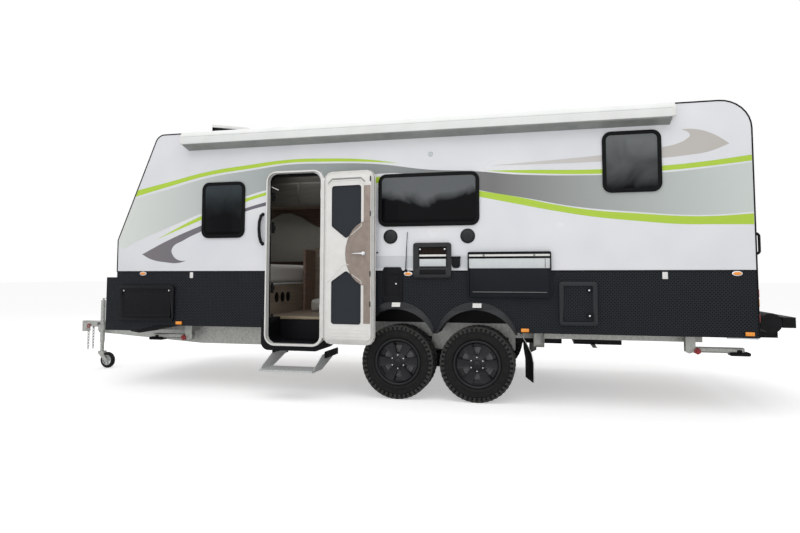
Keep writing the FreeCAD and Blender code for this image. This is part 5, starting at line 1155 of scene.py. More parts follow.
def makeTable():
    look = tableLook
    low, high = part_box("picnic_table")
    left, right, bottom, top = low.x - axleMiddle, high.x - axleMiddle, low.z, high.z
    out, base, rim = leftFace - low.y, leftFace - high.y, look["rim"]
    outline = roundedBox(left, right, bottom, top, look["corner"])
    tray = wallPlate("tray", outline, out - 0.012, base)
    border = wallPlate("border", outline, out, base + 0.002,
                       [roundedBox(left + rim, right - rim, bottom + rim, top - rim, 0.008)], 0.004)
    inner = wallPlate("inner", roundedBox(left + 0.05, right - 0.035, bottom + 0.045, look["leafTop"], 0.006),
                      out - 0.007, base + 0.01, bevel=0.003)
    finish(join("tableLeaf", [tray, border, inner]), finishes["gloss"], "table",
           instead=["picnic_table"])
    panel = wallBlock("tablePanel", left + rim, right - rim, *look["panel"], out - 0.005, base + 0.01)
    finish(panel, finishes["paleEnamel"], "table")
    rail = wallBlock("tableRail", left + 0.004, right - 0.004, *look["rail"], out - 0.004, base + 0.01)
    finish(rail, finishes["white"], "table")
    seam = look["seam"]
    dark = [wallBlock("hinge", left + 0.003, right - 0.003, *look["hinge"], out - 0.002, base + 0.01),
            wallBlock("seam", seam, seam + 0.005, 1.376, 1.469, out - 0.0035, base + 0.02, 0.001)]
    finish(join("tableHinge", dark), finishes["seal"], "table")
    lines = [wallBlock("groove", left + 0.05, right - 0.045, look["groove"], look["groove"] + 0.005,
                       out - 0.004, base + 0.02)]
    lines += [wallDrum("catch", x, look["catchHeight"], 0.012, out - 0.001, base + 0.02, 20, 0.003)
              for x in look["catches"]]
    finish(join("tableLines", lines), finishes["shade"], "table")


# Hatches: moulded frames on the skirt, lids that swing, chromed locks
hatchLook = {"gap": 0.003, "lidOut": 0.022, "lidBase": 0.011, "frameEdge": 0.009,
             "boot": {"beyond": (0.043, 0.037, 0.041), "corner": 0.035, "out": 0.03, "locks": (1.122, 1.126)},
             "locker": {"beyond": (0.042, 0.038, 0.042), "corner": 0.03, "out": 0.034},
             "service": {"frame": (-0.232, 0.17, 1.277, 1.642), "corner": 0.03, "out": 0.03,
                         "rail": (1.497, 1.518), "line": (1.478, 1.495), "panelTop": 1.472, "studs": 1.573,
                         "sill": (1.31, 1.362)},
             "battery": {"sides": (-0.572, -0.352), "levels": (1.02, 1.345, 1.388), "lock": (-0.418, 1.212)}}


def lidBox(node):
    low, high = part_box(node)
    gap = hatchLook["gap"]
    return low.x - axleMiddle + gap, high.x - axleMiddle - gap, low.z + gap, high.z - gap


def hatchFrame(name, kind, box):
    look = hatchLook[kind]
    left, right, bottom, top = box
    upper = max(look["corner"] - 0.02, 0.012)
    hole = roundedPath([(left, bottom, 0.002), (right, bottom, 0.002), (right, top, upper), (left, top, upper)])
    if "frame" in look:
        outer = look["frame"]
    else:
        side, below, above = look["beyond"]
        outer = (left - side, right + side, bottom - below, top + above)
    moulding = wallPlate(name, roundedBox(*outer, look["corner"]), look["out"], 0, [hole], hatchLook["frameEdge"])
    for vertex in moulding.data.vertices:  # the lower bar slopes back to the lid, which swings down past it
        x, drop = vertex.co.x - axleMiddle, bottom - vertex.co.z
        if left - 0.012 < x < right + 0.012 and -0.002 < drop < 0.036:
            vertex.co.y = max(vertex.co.y, leftFace - 0.006 - 0.75 * max(drop, 0))
    return moulding


def hatchLid(name, box, corner):
    return wallPlate(name, roundedBox(*box, corner), hatchLook["lidOut"], hatchLook["lidBase"], bevel=0.003)


def addLock(x, z, out):
    barrel = wallDrum("lock", x, z, 0.0095, out + 0.008, out - 0.004, 24, 0.003)
    slit = wallBlock("slit", x - 0.002, x + 0.002, z - 0.006, z + 0.006, out + 0.009, out + 0.004, 0.0005)
    return join("lock", [barrel, slit])


def makeBootHatches():
    box = lidBox("boot_lid_left")
    left, right, bottom, top = box
    moulding = hatchFrame("bootFrame", "boot", box)
    lid = hatchLid("bootLid", box, 0.02)
    for border, depth in ((0.022, -0.004), (0.01, 0.003)):  # a recessed panel with a raised middle
        insetFaces(lid, lambda face: face.normal.y < -0.95 and face.area > 0.05, border, depth)
    lockLeft, lockRight = hatchLook["boot"]["locks"]
    locks = join("bootLocks", [addLock(left + 0.02, lockLeft, hatchLook["lidOut"]),
                               addLock(right - 0.02, lockRight, hatchLook["lidOut"])])
    finishPair(moulding, finishes["satin"], ["lid_frames"])
    for piece, material, slot, node in ((lid, "black", "black_plastic", "boot_lid_"),
                                        (locks, "chrome", "galvanised", "")):
        finish(mirrored(piece, piece.name + "Far"), finishes[material], "boot_hatch_right",
               instead=[node + "right"] if node else ())
        finish(piece, finishes[material], "boot_hatch_left", instead=[node + "left"] if node else ())


def makeLocker():
    box = lidBox("locker_lid")
    left, right, bottom, top = box
    out, latchOut = 0.028, hatchLook["locker"]["out"]
    finish(hatchFrame("lockerFrame", "locker", box), finishes["slate"])
    lid = hatchLid("lockerLid", box, 0.012)
    finish(lid, finishes["plate"], "locker_hatch", instead=["locker_lid"])
    plate = roundedBox(right - 0.062, right - 0.006, bottom + 0.035, bottom + 0.078, 0.012)
    latches = [wallPlate("latchPlate", plate, latchOut, 0.018, bevel=0.005),
               wallDrum("latchRound", right - 0.035, top - 0.043, 0.026, out, 0.018, 32, 0.004)]
    finish(join("lockerLatches", latches), finishes["black"], "locker_hatch")
    locks = [addLock(right - 0.035, top - 0.043, out), addLock(right - 0.034, bottom + 0.057, latchOut)]
    finish(join("lockerLocks", locks), finishes["chrome"], "locker_hatch")


def makeServiceHatch():
    look, box = hatchLook["service"], lidBox("service_lid")
    left, right, bottom, top = box
    finish(hatchFrame("serviceFrame", "service", box), finishes["slate"])
    lid = wallPlate("serviceLid", roundedBox(*box, 0.01), 0.013, 0.008)
    finish(lid, finishes["recess"], "service_hatch", instead=["service_lid"])
    bars = {"serviceRail": (0.006, look["rail"], 0.022, "white", "white_plastic"),
            "serviceLine": (0.006, look["line"], 0.024, "seal", "rubber"),
            "servicePanel": (0.008, (bottom + 0.004, look["panelTop"]), 0.021, "paleEnamel", "white_panel")}
    for name, (inset, levels, out, material, slot) in bars.items():
        bar = wallBlock(name, left + inset, right - inset, *levels, out, 0.012)
        finish(bar, finishes[material], "service_hatch")
    studs = [wallDrum("stud", x, look["studs"], 0.0095, 0.026, 0.01, 20, 0.004) for x in (left + 0.014, right - 0.02)]
    finish(join("serviceStuds", studs), finishes["chrome"], "service_hatch")
    sill = wallBlock("serviceSill", left + 0.01, right - 0.01, *look["sill"], 0.036, 0.028, 0.004)
    finish(sill, finishes["black"])


def makeBatteryHatch():
    look, box = hatchLook["battery"], lidBox("battery_lid")
    (left, right), (foot, shoulder, top) = look["sides"], look["levels"]
    outer = roundedPath([(left, foot, 0.004), (right, foot, 0.004), (right, shoulder, 0.02),
                         (right - 0.02, top, 0.022), (left + 0.02, top, 0.022), (left, shoulder, 0.02)], 4)
    frameMoulding = wallPlate("batteryFrame", outer, 0.014, 0, [roundedBox(*box, 0.012)], 0.004)
    finish(frameMoulding, finishes["black"])
    lid = wallPlate("batteryLid", roundedBox(*box, 0.011), 0.016, 0.006, bevel=0.004)
    finish(lid, finishes["black"], "battery_hatch", instead=["battery_lid"])
    lock = finish(addLock(*look["lock"], 0.016), finishes["chrome"], "battery_hatch")
    lock.name = "batteryLock"


# Fittings on the walls: handles, speakers, outlet, aerial, small lamp, stud, blank plates
fittingLook = {
    "handleBar": 0.0125, "handleReach": 0.06, "handleSpans": {"front": (1.41, 1.645), "rear": (1.485, 1.715)},
    "entryBar": 0.0175, "entryLine": ((-1.975, 0, 1.985), (-1.98, 0.032, 1.968), (-1.993, 0.042, 1.9),
                                      (-1.996, 0.044, 1.82), (-1.99, 0.042, 1.735), (-1.977, 0.032, 1.674),
                                      (-1.97, 0, 1.655)),
    "speakers": ((-0.485, 1.712), (0.341, 1.708)), "speakerRadius": 0.077,
    "outlet": ((0.176, 1.492), (0.176, 1.402), (0.196, 1.376), (0.242, 1.376), (0.262, 1.4), (0.262, 1.492)),
    "whip": ((-0.313, 0.022, 1.352, 0.0055), (-0.309, 0.024, 1.45, 0.0045), (-0.303, 0.025, 1.6, 0.0035),
             (-0.294, 0.024, 1.757, 0)),
    "annexLamp": (-0.049, 2.583),
    "blanks": ((-2.882, -2.841, 1.271, 1.337, 0.002), (2.208, 2.257, 1.266, 1.333, 0.002)),
}


def addHandle(name, x, low, high, reach, y):
    bow = roundedPath([(x, low, 0), (x + reach, low + 0.03, 0.03), (x + reach, high - 0.03, 0.03),
                       (x, high, 0)], 5)
    pieces = [addBar(name, [(px, y, pz) for px, pz in bow], fittingLook["handleBar"])]
    near, far = sorted((x, x + reach * 0.12))
    for z in (low, high):
        pieces.append(addBlock("foot", (near, y - 0.02, z - 0.02), (far, y + 0.02, z + 0.02), 0.005))
    return join(name, pieces)


def makeHandles():
    look = fittingLook
    for end, x, way in (("front", frontFace, -1), ("rear", rearFace, 1)):
        handle = addHandle(end + "Handle", x, *look["handleSpans"][end], way * look["handleReach"], leftFace + 0.1)
        finishPair(handle, finishes["black"])
    bow = addBar("entryHandle", [(x + axleMiddle, leftFace - out, z) for x, out, z in look["entryLine"]],
                 look["entryBar"], sides=4)
    ends = [wallDrum("end", -1.972, z, 0.021, 0.008, 0, 24, 0.003) for z in (1.985, 1.655)]
    finish(join("entryHandle", [bow, *ends]), finishes["black"], instead=["outside_fittings"])


def makeSpeakers():
    radius = fittingLook["speakerRadius"]
    grille = [(0.0005, -0.02), (0.03, -0.019), (0.052, -0.0155), (radius - 0.009, -0.009), (radius - 0.008, 0),
              (0.0005, 0)]
    ring = [(radius - 0.009, -0.0085), (radius - 0.006, -0.011), (radius - 0.001, -0.008), (radius, 0),
            (radius - 0.009, 0)]
    for name, profile, material in (("speakerGrilles", grille, "grille"), ("speakerRings", ring, "black")):
        pair = [addTurned(name, profile, (x + axleMiddle, leftFace, z), 48) for x, z in fittingLook["speakers"]]
        finish(join(name, pair), finishes[material])


def makeSmallFittings():
    look = fittingLook
    pieces = [wallPlate("outlet", look["outlet"], 0.026, bevel=0.004),
              wallBlock("outletLid", 0.17, 0.268, 1.478, 1.496, 0.03, 0, 0.004),
              wallDrum("stud", -0.629, 1.544, 0.009, 0.012),
              wallDrum("aerialFoot", -0.313, 1.352, 0.014, 0.03, 0, 24, 0.004)]
    for start, end in zip(look["whip"], look["whip"][1:]):
        line = [(x + axleMiddle, leftFace - out, z) for x, out, z, radius in (start, end)]
        pieces.append(addBar("aerial", line, start[3]))
    finish(join("outletAndAerial", pieces), finishes["black"])
    x, z = look["annexLamp"]
    lamp = addTurned("annexLamp", [(0.0005, -0.006), (0.016, -0.006), (0.018, -0.011), (0.024, -0.008),
                                   (0.026, 0), (0.0005, 0)], (x + axleMiddle, leftFace, z), 32)
    finish(lamp, finishes["paleEnamel"])
    blanks = [wallBlock("blank", *span, out, 0, 0.0006) for *span, out in look["blanks"]]
    finish(join("blankPlates", blanks), finishes["white"])


# Arches: a moulding over each wheel whose face leans out towards its lip, and a liner behind it
archLook = {"out": 0.0395, "rimOut": 0.009, "half": 0.4215, "peak": 1.028, "foot": 0.702, "innerPeak": 0.948,
            "innerHalf": 0.398, "deep": 0.26, "blanks": (-0.462, 0.39), "blankWide": 0.09,
            "blankLevels": (0.972, 1.016)}


def archLine(middle, half, peak, foot, steps=24):
    rise = peak - foot
    radius = (half * half + rise * rise) / (2 * rise)
    reach = math.asin(half / radius)
    return [(middle + radius * math.sin(turn), peak - radius + radius * math.cos(turn))
            for turn in (-reach + 2 * reach * step / steps for step in range(steps + 1))]


def makeArches():
    look = archLook
    arches, liners = [], []
    for axle in (frontAxle, rearAxle):
        middle = axle - axleMiddle
        outer = archLine(middle, look["half"], look["peak"], look["foot"])
        inner = archLine(middle, look["innerHalf"], look["innerPeak"], look["foot"])
        arch = addPlate("arch", onWall(outer + inner[::-1]), leftFace - look["out"], leftFace)
        rim = {(round(x, 3), round(z, 3)) for x, z in onWall(outer)}
        for vertex in arch.data.vertices:
            if vertex.co.y < leftFace - 0.01 and (round(vertex.co.x, 3), round(vertex.co.z, 3)) in rim:
                vertex.co.y = leftFace - look["rimOut"]
        arches.append(roundEdges(arch, 0.006, 3, 25))
        lining = archLine(middle, look["innerHalf"] + 0.004, look["innerPeak"] + 0.004, look["foot"])
        liners.append(addPlate("liner", onWall(lining + inner[::-1]), leftFace + 0.001, leftFace + look["deep"]))
    finishPair(join("arches", arches), finishes["slate"], ["wheel_arch_flares"])
    finishPair(join("archLiners", liners), finishes["chassis"])
    blank = join("archBlanks", [wallBlock("archBlank", left, left + look["blankWide"], *look["blankLevels"],
                                          0.003, 0.001, 0) for left in look["blanks"]])
    for vertex in blank.data.vertices:  # the blank plates lie on the leaning face
        share = min(max((look["peak"] - vertex.co.z) / (look["peak"] - look["innerPeak"]), 0), 1)
        vertex.co.y -= look["rimOut"] + share * (look["out"] - look["rimOut"]) + 0.002
    finish(blank, finishes["white"])


# Mud flaps behind the rear wheels: rubber, bowed backwards, the inner edge further forward
flapLook = {"line": ((0.868, 0.713), (0.925, 0.62), (0.972, 0.52), (0.99, 0.43), (0.99, 0.236)), "thick": 0.009,
            "width": 0.3, "twist": 0.08, "hem": 0.0035}


def makeMudFlaps():
    look = flapLook
    line, thick, near = look["line"], look["thick"], leftFace + 0.002
    outline = list(line) + [(x - thick, z) for x, z in reversed(line)]
    flap = addPlate("mudFlap", onWall(outline), near, near + look["width"])
    for vertex in flap.data.vertices:
        inward = (vertex.co.y - leftFace) / look["width"]
        vertex.co.x -= look["twist"] * inward * min((line[0][1] - vertex.co.z) / 0.2, 1)
    roundEdges(flap, 0.002)
    hem = addBar("flapHem", [(x + axleMiddle + 0.001, leftFace + 0.004, z) for x, z in line], look["hem"])
    finishPair(hem, finishes["galvanised"])
    finishPair(flap, finishes["seal"], ["mud_flaps"])


# Wind-down legs: galvanised arm on a knuckle, black foot, red nut
legLook = {"overlap": 0.05, "armHalf": (0.03, 0.014), "knuckle": (0.03, 0.03, 0.08), "sole": (0.185, 0.036),
           "neckAlong": 0.095, "neck": (0.034, 0.034), "nutAlong": 0.1, "nut": (0.034, 0.06),
           "collar": (0.017, 0.03)}


def makeLegs():
    look = legLook
    halfWide, halfHigh = look["armHalf"]
    back, *knuckleSize = look["knuckle"]
    long, tall = look["sole"]
    for end, way in (("front", 1), ("rear", -1)):
        low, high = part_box(f"stabiliser_{end}_left")
        tip, pivot = (low.x, high.x) if way > 0 else (high.x, low.x)
        y, z = (low.y + high.y) / 2, (low.z + high.z) / 2
        armTip, heel = tip + way * look["overlap"], tip + way * long
        arm = addBlock("arm", (min(armTip, pivot), y - halfWide, z - halfHigh),
                       (max(armTip, pivot), y + halfWide, high.z - 0.002), 0.004)
        insetFaces(arm, lambda face: abs(face.normal.y) > 0.95, 0.008, -0.006)
        knuckle = addDrum("knuckle", (pivot - way * back, y, z + 0.004), *knuckleSize, "Y", 32, 0.004)
        sole = addBlock("sole", (min(tip, heel), low.y, low.z), (max(tip, heel), high.y, low.z + tall), 0.016, 4)
        neck = addDrum("neck", (tip + way * look["neckAlong"], y, low.z + 0.042), *look["neck"], "Z", 24, 0.008)
        nutX = pivot - way * look["nutAlong"]
        hexagon = addDrum("nut", (nutX, y - 0.028, z), *look["nut"], "Y", 6, 0.006)
        collar = addDrum("collar", (nutX, y - 0.052, z), *look["collar"], "Y", 24, 0.004)
        for pieces, name, colour, slot in (((arm, knuckle), "legArm", "galvanised", "galvanised"),
                                           ((sole, neck), "legFoot", "black", "rubber"),
                                           ((hexagon, collar), "legNut", "redPaint", "black_steel")):
            near = join(f"{name}_{end}_left", pieces)
            for side in ("left", "right"):
                piece = near if side == "left" else mirrored(near, f"{name}_{end}_right")
                finish(piece, finishes[colour], f"leg_{end}_{side}",
                       instead=[f"stabiliser_{end}_{side}"] if name == "legArm" else ())


def makeJockeyWheel():
    low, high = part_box("jockey_wheel")
    centre = (low + high) / 2
    half, tread = (high.y - low.y) / 2, (high.z - low.z) / 2 - 0.0002
    side = [(0.07, half - 0.008), (0.078, half), (0.094, half - 0.003), (tread - 0.004, half - 0.012),
            (tread, half - 0.02)]
    profile = [(radius, -along) for radius, along in side] + side[::-1]
    tyre = addTurned("jockeyTyre", profile, centre, 48)
    finish(tyre, finishes["tyre"], "jockey_roller", 30, ["jockey_wheel"])
    rim = [addTurned("jockeyRim", [(0.064, -half + 0.006), (0.0705, -half + 0.006), (0.0705, half - 0.006),
                                   (0.064, half - 0.006), (0.06, 0)], centre, 48),
           addDrum("jockeyHub", centre, 0.02, 2 * half - 0.004, "Y", 24, 0.003)]
    for number in range(6):
        spoke = addBlock("spoke", (centre.x - 0.009, centre.y - half + 0.012, centre.z + 0.014),
                         (centre.x + 0.009, centre.y + half - 0.012, centre.z + 0.064), 0.003)
        spoke.data.transform(turnedAbout(centre, math.radians(60 * number), "Y"))
        rim.append(spoke)
    finish(join("jockeyRim", rim), finishes["anodised"], "jockey_roller")


# Below the body: shackles of the chains, tray under the boot, strap, bracket, strip along the skirt
belowLook = {
    "shackle": (0.02, 0.026, 0.006),
    "tray": ((-3.69, 0.72, 0.004), (-3.66, 0.645, 0.02), (-3.54, 0.628, 0.02), (-3.35, 0.662, 0.01),
             (-3.1, 0.72, 0.004)),
    "trayDeep": (0.01, 0.3), "strap": (1.575, 1.62, 0.569, 0.574), "bracket": (0.985, 1.1, 0.545, 0.7),
    "bracketDeep": (0.33, 0.40), "strip": (2.76, 3.022, 0.712, 0.722),
}


def makeUnderside():
    look = belowLook
    low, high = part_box("safety_chains")
    wide, tall, thick = look["shackle"]
    shackles = [addBar("shackle", [(x, y, z) for x, z in ovalRing(low.x + 0.016, high.z - 0.012, wide, tall, 20)],
                       thick, cyclic=True) for y in (low.y + 0.012, high.y - 0.012)]
    finish(join("shackles", shackles), finishes["redPaint"])
    near, far = (leftFace + step for step in look["trayDeep"])
    tray = addPlate("bootTray", onWall(roundedPath(look["tray"], 4)), near, far)
    finish(roundEdges(tray, 0.012, 3), finishes["black"])
    left, right, bottom, top = look["strap"]
    strap = addBlock("tankStrap", (left + axleMiddle, leftFace + 0.2, bottom),
                     (right + axleMiddle, rightFace - 0.2, top), 0.0015)
    finish(strap, finishes["galvanised"])
    near, far = look["bracketDeep"]
    bracket = wallBlock("hangerBracket", *look["bracket"], -near, -far, 0.006)
    insetFaces(bracket, lambda face: face.normal.y < -0.95, 0.02, -0.012)
    finish(bracket, finishes["galvanised"])
    finishPair(wallBlock("skirtStrip", *look["strip"], 0.004, -0.03, 0.0015), finishes["aluminium"])


# Doorway: catches on the frame, stay and blind rail, and the blocks of the step well and threshold
doorwayLook = {"catches": ((2.135, 2.238), (1.774, 1.899), (1.105, 1.216), (0.775, 0.873)),
               "stay": ((-1.89, 0.04, 2.3), (-1.81, 0.045, 2.264)),
               "blind": ((-1.853, 0.045, 2.419), (-1.69, 0.045, 2.42))}
doorwayBlocks = {  # left, right, bottom, top, then how deep it starts and ends behind the wall's face
    "riser": (-1.86, -1.33, 0.56, 0.79, 0.37, 0.385, 0.003, 2, "riser", "black_plastic"),
    "riserSide": (-1.952, -1.945, 0.56, 0.79, 0.05, 0.36, 0.002, 2, "riser", "black_plastic"),
    "stepLamp": (-1.815, -1.808, 0.6, 0.78, 0.362, 0.371, 0.002, 2, "paleEnamel", "white_plastic"),
    "floorNosing": (-1.97, -1.31, 0.79, 0.824, 0.35, 0.42, 0.008, 3, "floor", "plywood"),
}


def makeDoorway():
    catches = []
    for low, high in doorwayLook["catches"]:
        catches.append(wallBlock("catch", -1.886, -1.858, low, high, -0.038, -0.056, 0.004))
        catches.append(wallBlock("tongue", -1.86, -1.846, low + 0.03, high - 0.035, -0.04, -0.056, 0.003))
    finish(join("doorCatches", catches), finishes["seal"])
    bars = [addBar("doorStay", [(x + axleMiddle, leftFace + deep, z) for x, deep, z in doorwayLook[name]], radius)
            for name, radius in (("stay", 0.005), ("blind", 0.006))]
    finish(join("doorStay", bars), finishes["white"])
    for name, (left, right, bottom, top, near, far, bevel, segments, material, slot) in doorwayBlocks.items():
        block = addBlock(name, (left + axleMiddle, leftFace + near, bottom),
                         (right + axleMiddle, leftFace + far, top), bevel, segments)
        finish(block, finishes[material])


# Cabin: what the open doorway shows of the bed base, bedhead, cupboards and side cabinet
cabinLook = {
    "foot": -1.206, "vents": (0.51, 0.35, 0.19), "vent": (1.026, 0.052, 0.062),
    "headboard": ((-2.31, 1.5), (-1.1, 1.5), (-1.1, 1.95), (-1.38, 2.06), (-1.62, 2.2), (-1.8, 2.27),
                  (-1.95, 2.27), (-2.12, 2.19), (-2.31, 2.1)),
    "doors": (-2.15, -1.52, -0.89), "doorWide": 0.6295, "doorLevels": (2.331, 2.69), "doorDepth": (0.929, 0.944),
    "cushion": ((-0.98, -0.02, 0.826), (-0.72, 0.2, 0.99)),
}


def makeCabin():
    look = cabinLook
    foot, (height, wide, tall) = look["foot"], look["vent"]
    vents = [roundEdges(addSection("vent", ovalRing(middleY - back, height, wide, tall), foot - 0.004, foot + 0.006),
                        0.003) for back in look["vents"]]
    finish(join("bedVents", vents), finishes["seal"])
    rail = addBlock("bedRail", (foot - 0.03, middleY - 0.76, 1.185), (foot + 0.012, middleY + 0.66, 1.206), 0.004)
    finish(rail, finishes["paleEnamel"])
    panel = addPlate("sideHeadboard", look["headboard"], rightFace - 0.1, rightFace - 0.05)
    finish(roundEdges(panel, 0.018, 3), finishes["quilt"])
    lining = addBlock("cabinLining", (-2.5, rightFace - 0.048, 1.45), (-0.3, rightFace - 0.042, 2.36), 0.002)
    finish(lining, finishes["walnut"])
    pillar = addBlock("tallPanel", (-1.2, middleY + 0.265, 0.822), (-1.165, middleY + 0.76, 1.66), 0.004)
    insetFaces(pillar, lambda face: face.normal.x > 0.95, 0.03, -0.003)
    finish(pillar, finishes["cherry"])
    (bottom, top), (front, back) = look["doorLevels"], look["doorDepth"]
    doors = []
    for x in look["doors"]:
        door = addBlock("cupboardDoor", (x, front, bottom), (x + look["doorWide"], back, top), 0.002)
        doors.append(insetFaces(door, lambda face: face.normal.y < -0.95 and face.area > 0.1, 0.04, -0.004))
    doors.append(addBlock("fascia", (-2.156, 0.935, 2.691), (-0.256, 0.945, 2.92), 0.002))
    finish(join("cupboardDoors", doors), finishes["smoke"])
    low, high = ((x, middleY + across, z) for x, across, z in look["cushion"])
    cushion = softPiece("stepCushion", low, high, 0.03, 0.014, 0.012)
    finish(cushion, finishes["linen"])


# A stuffed piece: the block swells under cloth pressure as far as its cap and stays inside its solid's space
def softPiece(name, low, high, corner, voxel, cap):
    low, high = Vector(low) + Vector((cap, cap, 0.001)), Vector(high) - Vector((cap, cap, cap))
    piece = addBlock(name, low, high, corner, 4)
    modify(piece, "REMESH", mode="VOXEL", voxel_size=voxel, use_smooth_shade=True)
    start = [vertex.co.copy() for vertex in piece.data.vertices]
    activate(piece)
    cloth = piece.modifiers.new("Cloth", "CLOTH")
    cloth.settings.use_pressure = True
    cloth.settings.uniform_pressure_force = 4
    cloth.settings.effector_weights.gravity = 0
    for number in range(1, 21):
        bpy.context.scene.frame_set(number)
    bpy.ops.object.modifier_apply(modifier=cloth.name)
    bpy.context.scene.frame_set(1)
    for vertex, place in zip(piece.data.vertices, start):
        move = vertex.co - place
        if move.length > cap:
            move *= cap / move.length
        vertex.co = place + move
        vertex.co.z = max(vertex.co.z, low.z)
    return modify(piece, "SUBSURF", levels=1, render_levels=1)


beddingLook = {  # low and high corner, edge radius, voxel, cap, how full it is stuffed
    "mattress": ((-2.826, -0.608, 1.201), (-1.226, 0.892, 1.448), 0.05, 0.03, 0.012, 0.8),
    "pillowNear": ((-2.776, -0.557, 1.4515), (-2.356, 0.102, 1.58), 0.045, 0.014, 0.014, 0.6),
    "pillowFar": ((-2.776, 0.182, 1.4515), (-2.356, 0.843, 1.58), 0.045, 0.014, 0.014, 0.6),
}


def makeBedding():
    for name, (low, high, corner, voxel, cap, fill) in beddingLook.items():
        piece = softPiece(name, low, high, corner, voxel, cap)
        finish(piece, finishes["linen"], smooth=60, instead=["bedding"] if name == "mattress" else ())


# Roof unit: pale shell sloping to the rear over a dark tray with a front grille, the tray's band under the shell
# painted shadow; hatches with rounded lids
coolerLook = {"low": (-2.226, -0.257, 2.964), "high": (-1.206, 0.542, 3.301), "ridge": (-1.726, 3.235),
              "tail": (-1.256, 3.1), "shell": 0.034, "edge": 0.011,
              "slats": (3.02, 3.05, 3.08, 3.11, 3.14, 3.17, 3.2)}
hatchLids = {"hatchFront": 0.304, "hatchRear": 2.634}
hatchLidLook = {"long": 0.52, "across": (-0.118, 0.403), "levels": (2.964, 2.985, 3.05), "curb": 0.02}


def makeRoof():
    look = coolerLook
    low, high, thick = Vector(look["low"]), Vector(look["high"]), look["shell"]
    (ridgeX, ridgeZ), (tailX, tailZ) = look["ridge"], look["tail"]
    cover = roundedPath([
        (low.x + 0.002, high.z - thick, 0.004), (ridgeX, ridgeZ - thick, 0.3), (tailX, tailZ - thick, 0.02),
        (high.x, tailZ - 0.05, 0.015), (high.x - 0.02, tailZ - 0.015, 0.02), (tailX - 0.05, tailZ + 0.012, 0.1),
        (ridgeX, ridgeZ, 0.3), (low.x + 0.002, high.z, 0.006)], 6)
    shell = roundEdges(addPlate("coolerShell", cover, low.y, high.y), 0.012, 3)
    finish(shell, finishes["white"], instead=["roof_fittings"])
    # Painted shadow: the dark tray shows as a band under the shell, where the gap between the unit and the roof is in
    # shade
    tray = roundedPath([
        (low.x + 0.012, low.z, 0.006), (high.x - 0.03, low.z, 0.006), (high.x - 0.02, tailZ - 0.05, 0.01),
        (tailX, tailZ - 0.046, 0.02), (ridgeX, ridgeZ - 0.035, 0.3), (low.x + 0.008, high.z - 0.035, 0.006)], 6)
    dark = [roundEdges(addPlate("coolerShadowBase", tray, low.y + 0.012, high.y - 0.012), 0.008),
            addBlock("edge", (low.x, low.y + 0.001, 2.975),
                     (low.x + look["edge"], high.y - 0.001, high.z - 0.0005), 0.004)]
    dark += [addBlock("slat", (low.x, low.y + 0.06, z), (low.x + 0.03, high.y - 0.06, z + 0.014), 0.003)
             for z in look["slats"]]
    finish(join("coolerDark", dark), finishes["black"])
    (near, far), (foot, seat, top) = hatchLidLook["across"], hatchLidLook["levels"]
    for name, x in hatchLids.items():
        end, curbInset = x + hatchLidLook["long"], hatchLidLook["curb"]
        lid = addBlock(name, (x, near, seat), (end, far, top), 0.018, 4)
        insetFaces(lid, lambda face: face.normal.z > 0.95 and face.area > 0.1, 0.05, -0.006)
        finish(lid, finishes["white"])
        curb = addBlock(name + "Curb", (x + curbInset, near + curbInset, foot),
                        (end - curbInset, far - curbInset, seat + 0.002), 0.003)
        finish(curb, finishes["seal"])


# Studio: pale floor, soft lamps, camera at the photograph's angle
studioLook = {"worldLight": 0.62, "worldSeen": 1.0, "floorColour": "#EFEFEF", "floorLift": 0.42, "floorSize": 160}
cameraLook = {"place": (1.082, -6.977, 1.317), "yaw": 12.6, "pitch": 3.463, "roll": -0.042, "lens": 25.2,
              "shift": (-0.02035, -0.0332)}


def makeCamera():
    data = bpy.data.cameras.new("camera")
    data.lens = cameraLook["lens"]
    data.shift_x, data.shift_y = cameraLook["shift"]
    camera = bpy.data.objects.new("camera", data)
    x, y, z = cameraLook["place"]
    camera.location = (x + axleMiddle, y + middleY, z)
    turn = Matrix.Rotation(math.radians(cameraLook["yaw"]), 4, "Z")
    tilt = Matrix.Rotation(math.radians(90 + cameraLook["pitch"]), 4, "X")
    roll = Matrix.Rotation(math.radians(cameraLook["roll"]), 4, "Z")
    camera.rotation_euler = (turn @ tilt @ roll).to_euler()
    bpy.context.scene.collection.objects.link(camera)
    bpy.context.scene.camera = camera


def makeWorld():
    world = bpy.data.worlds.new("studio")
    bpy.context.scene.world = world
    world.use_nodes = True
    tree = world.node_tree
    tree.nodes.clear()
    path = addNode(tree, "LightPath")
    seen = addNode(tree, "Math", {"operation": "MAXIMUM"},
                   {0: (path, "Is Camera Ray"), 1: (path, "Is Transmission Ray")})
    bright = addNode(tree, "Math", {"operation": "MAXIMUM"}, {0: (seen, "Value"), 1: (path, "Is Glossy Ray")})
    strength = addNode(tree, "MapRange", {"To Min": studioLook["worldLight"], "To Max": studioLook["worldSeen"]},
                       {"Value": (bright, "Value")})
    shade = addNode(tree, "Background", {"Color": (1, 1, 1, 1)}, {"Strength": (strength, "Result")})
    addNode(tree, "OutputWorld", links={"Surface": (shade, "Background")})


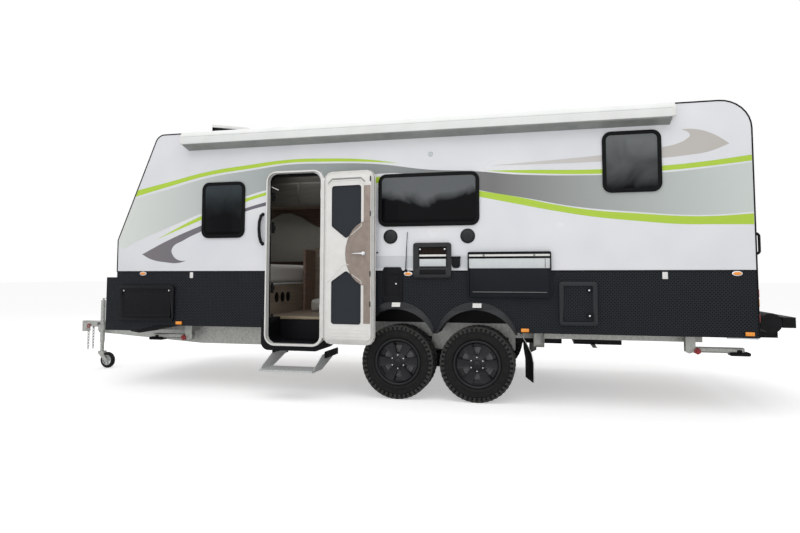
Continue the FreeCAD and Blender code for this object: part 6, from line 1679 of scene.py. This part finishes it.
def makeFloor():
    bpy.ops.object.select_all(action="DESELECT")
    bpy.ops.mesh.primitive_plane_add(size=studioLook["floorSize"], location=(0, 0, -0.0005))
    floor = bpy.context.object
    floor.name = "floor"
    material, tree, shader = startMaterial("paleFloorPaper", Roughness=1.0, Specular_IOR_Level=0.0)
    shader.inputs["Base Color"].default_value = paint(studioLook["floorColour"])
    path = addNode(tree, "LightPath")
    lift = addNode(tree, "Math", {"operation": "MULTIPLY", 1: studioLook["floorLift"]},
                   {0: (path, "Is Camera Ray")})
    shader.inputs["Emission Color"].default_value = (1, 1, 1, 1)
    tree.links.new(lift.outputs["Value"], shader.inputs["Emission Strength"])
    floor.data.materials.append(material)


lampLooks = {
    "overhead": {"place": (0.5, -1.5, 7.5), "aim": (0.5, 0, 1), "size": 10, "watts": 265},
    "nearSide": {"place": (1.5, -9.5, 4.6), "aim": (0.5, -1, 1.4), "size": 13, "watts": 195},
    "cabin": {"place": (-1.3, 0.45, 2.85), "aim": (-1.3, 0.45, 0), "size": 0.8, "watts": 5},
    "farSide": {"place": (-1, 10, 5), "aim": (0.5, 1, 1.4), "size": 8, "watts": 225},
}


def makeLights():
    for name, look in lampLooks.items():
        data = bpy.data.lights.new(name, "AREA")
        data.energy = look["watts"]
        data.size = look["size"]
        data.specular_factor = 0
        lamp = bpy.data.objects.new(name, data)
        lamp.location = look["place"]
        lamp.rotation_euler = (Vector(look["aim"]) - Vector(look["place"])).to_track_quat("-Z", "Y").to_euler()
        bpy.context.scene.collection.objects.link(lamp)


bpy.context.scene.view_settings.view_transform = "Standard"
makeCamera()
makeWorld()
makeFloor()
makeLights()
dressFrame()
print("stage: studio and frame finishes")
makeFilms()
makeEdges()
makeWindows()
print("stage: walls and windows")
makeScreenDoor()
makeLockSide()
makeLever()
makeLeafSeal()
makeDoorFrame()
print("stage: door")
makeWheels()
makeLamps()
makeAwning()
print("stage: wheels, lamps, awning")
makeTable()
makeBootHatches()
makeLocker()
makeServiceHatch()
makeBatteryHatch()
print("stage: table and hatches")
makeHandles()
makeSpeakers()
makeSmallFittings()
makeArches()
makeMudFlaps()
makeLegs()
makeJockeyWheel()
makeUnderside()
print("stage: fittings, arches, running gear")
makeDoorway()
makeCabin()
makeBedding()
makeRoof()
print("stage: doorway, cabin, roof")
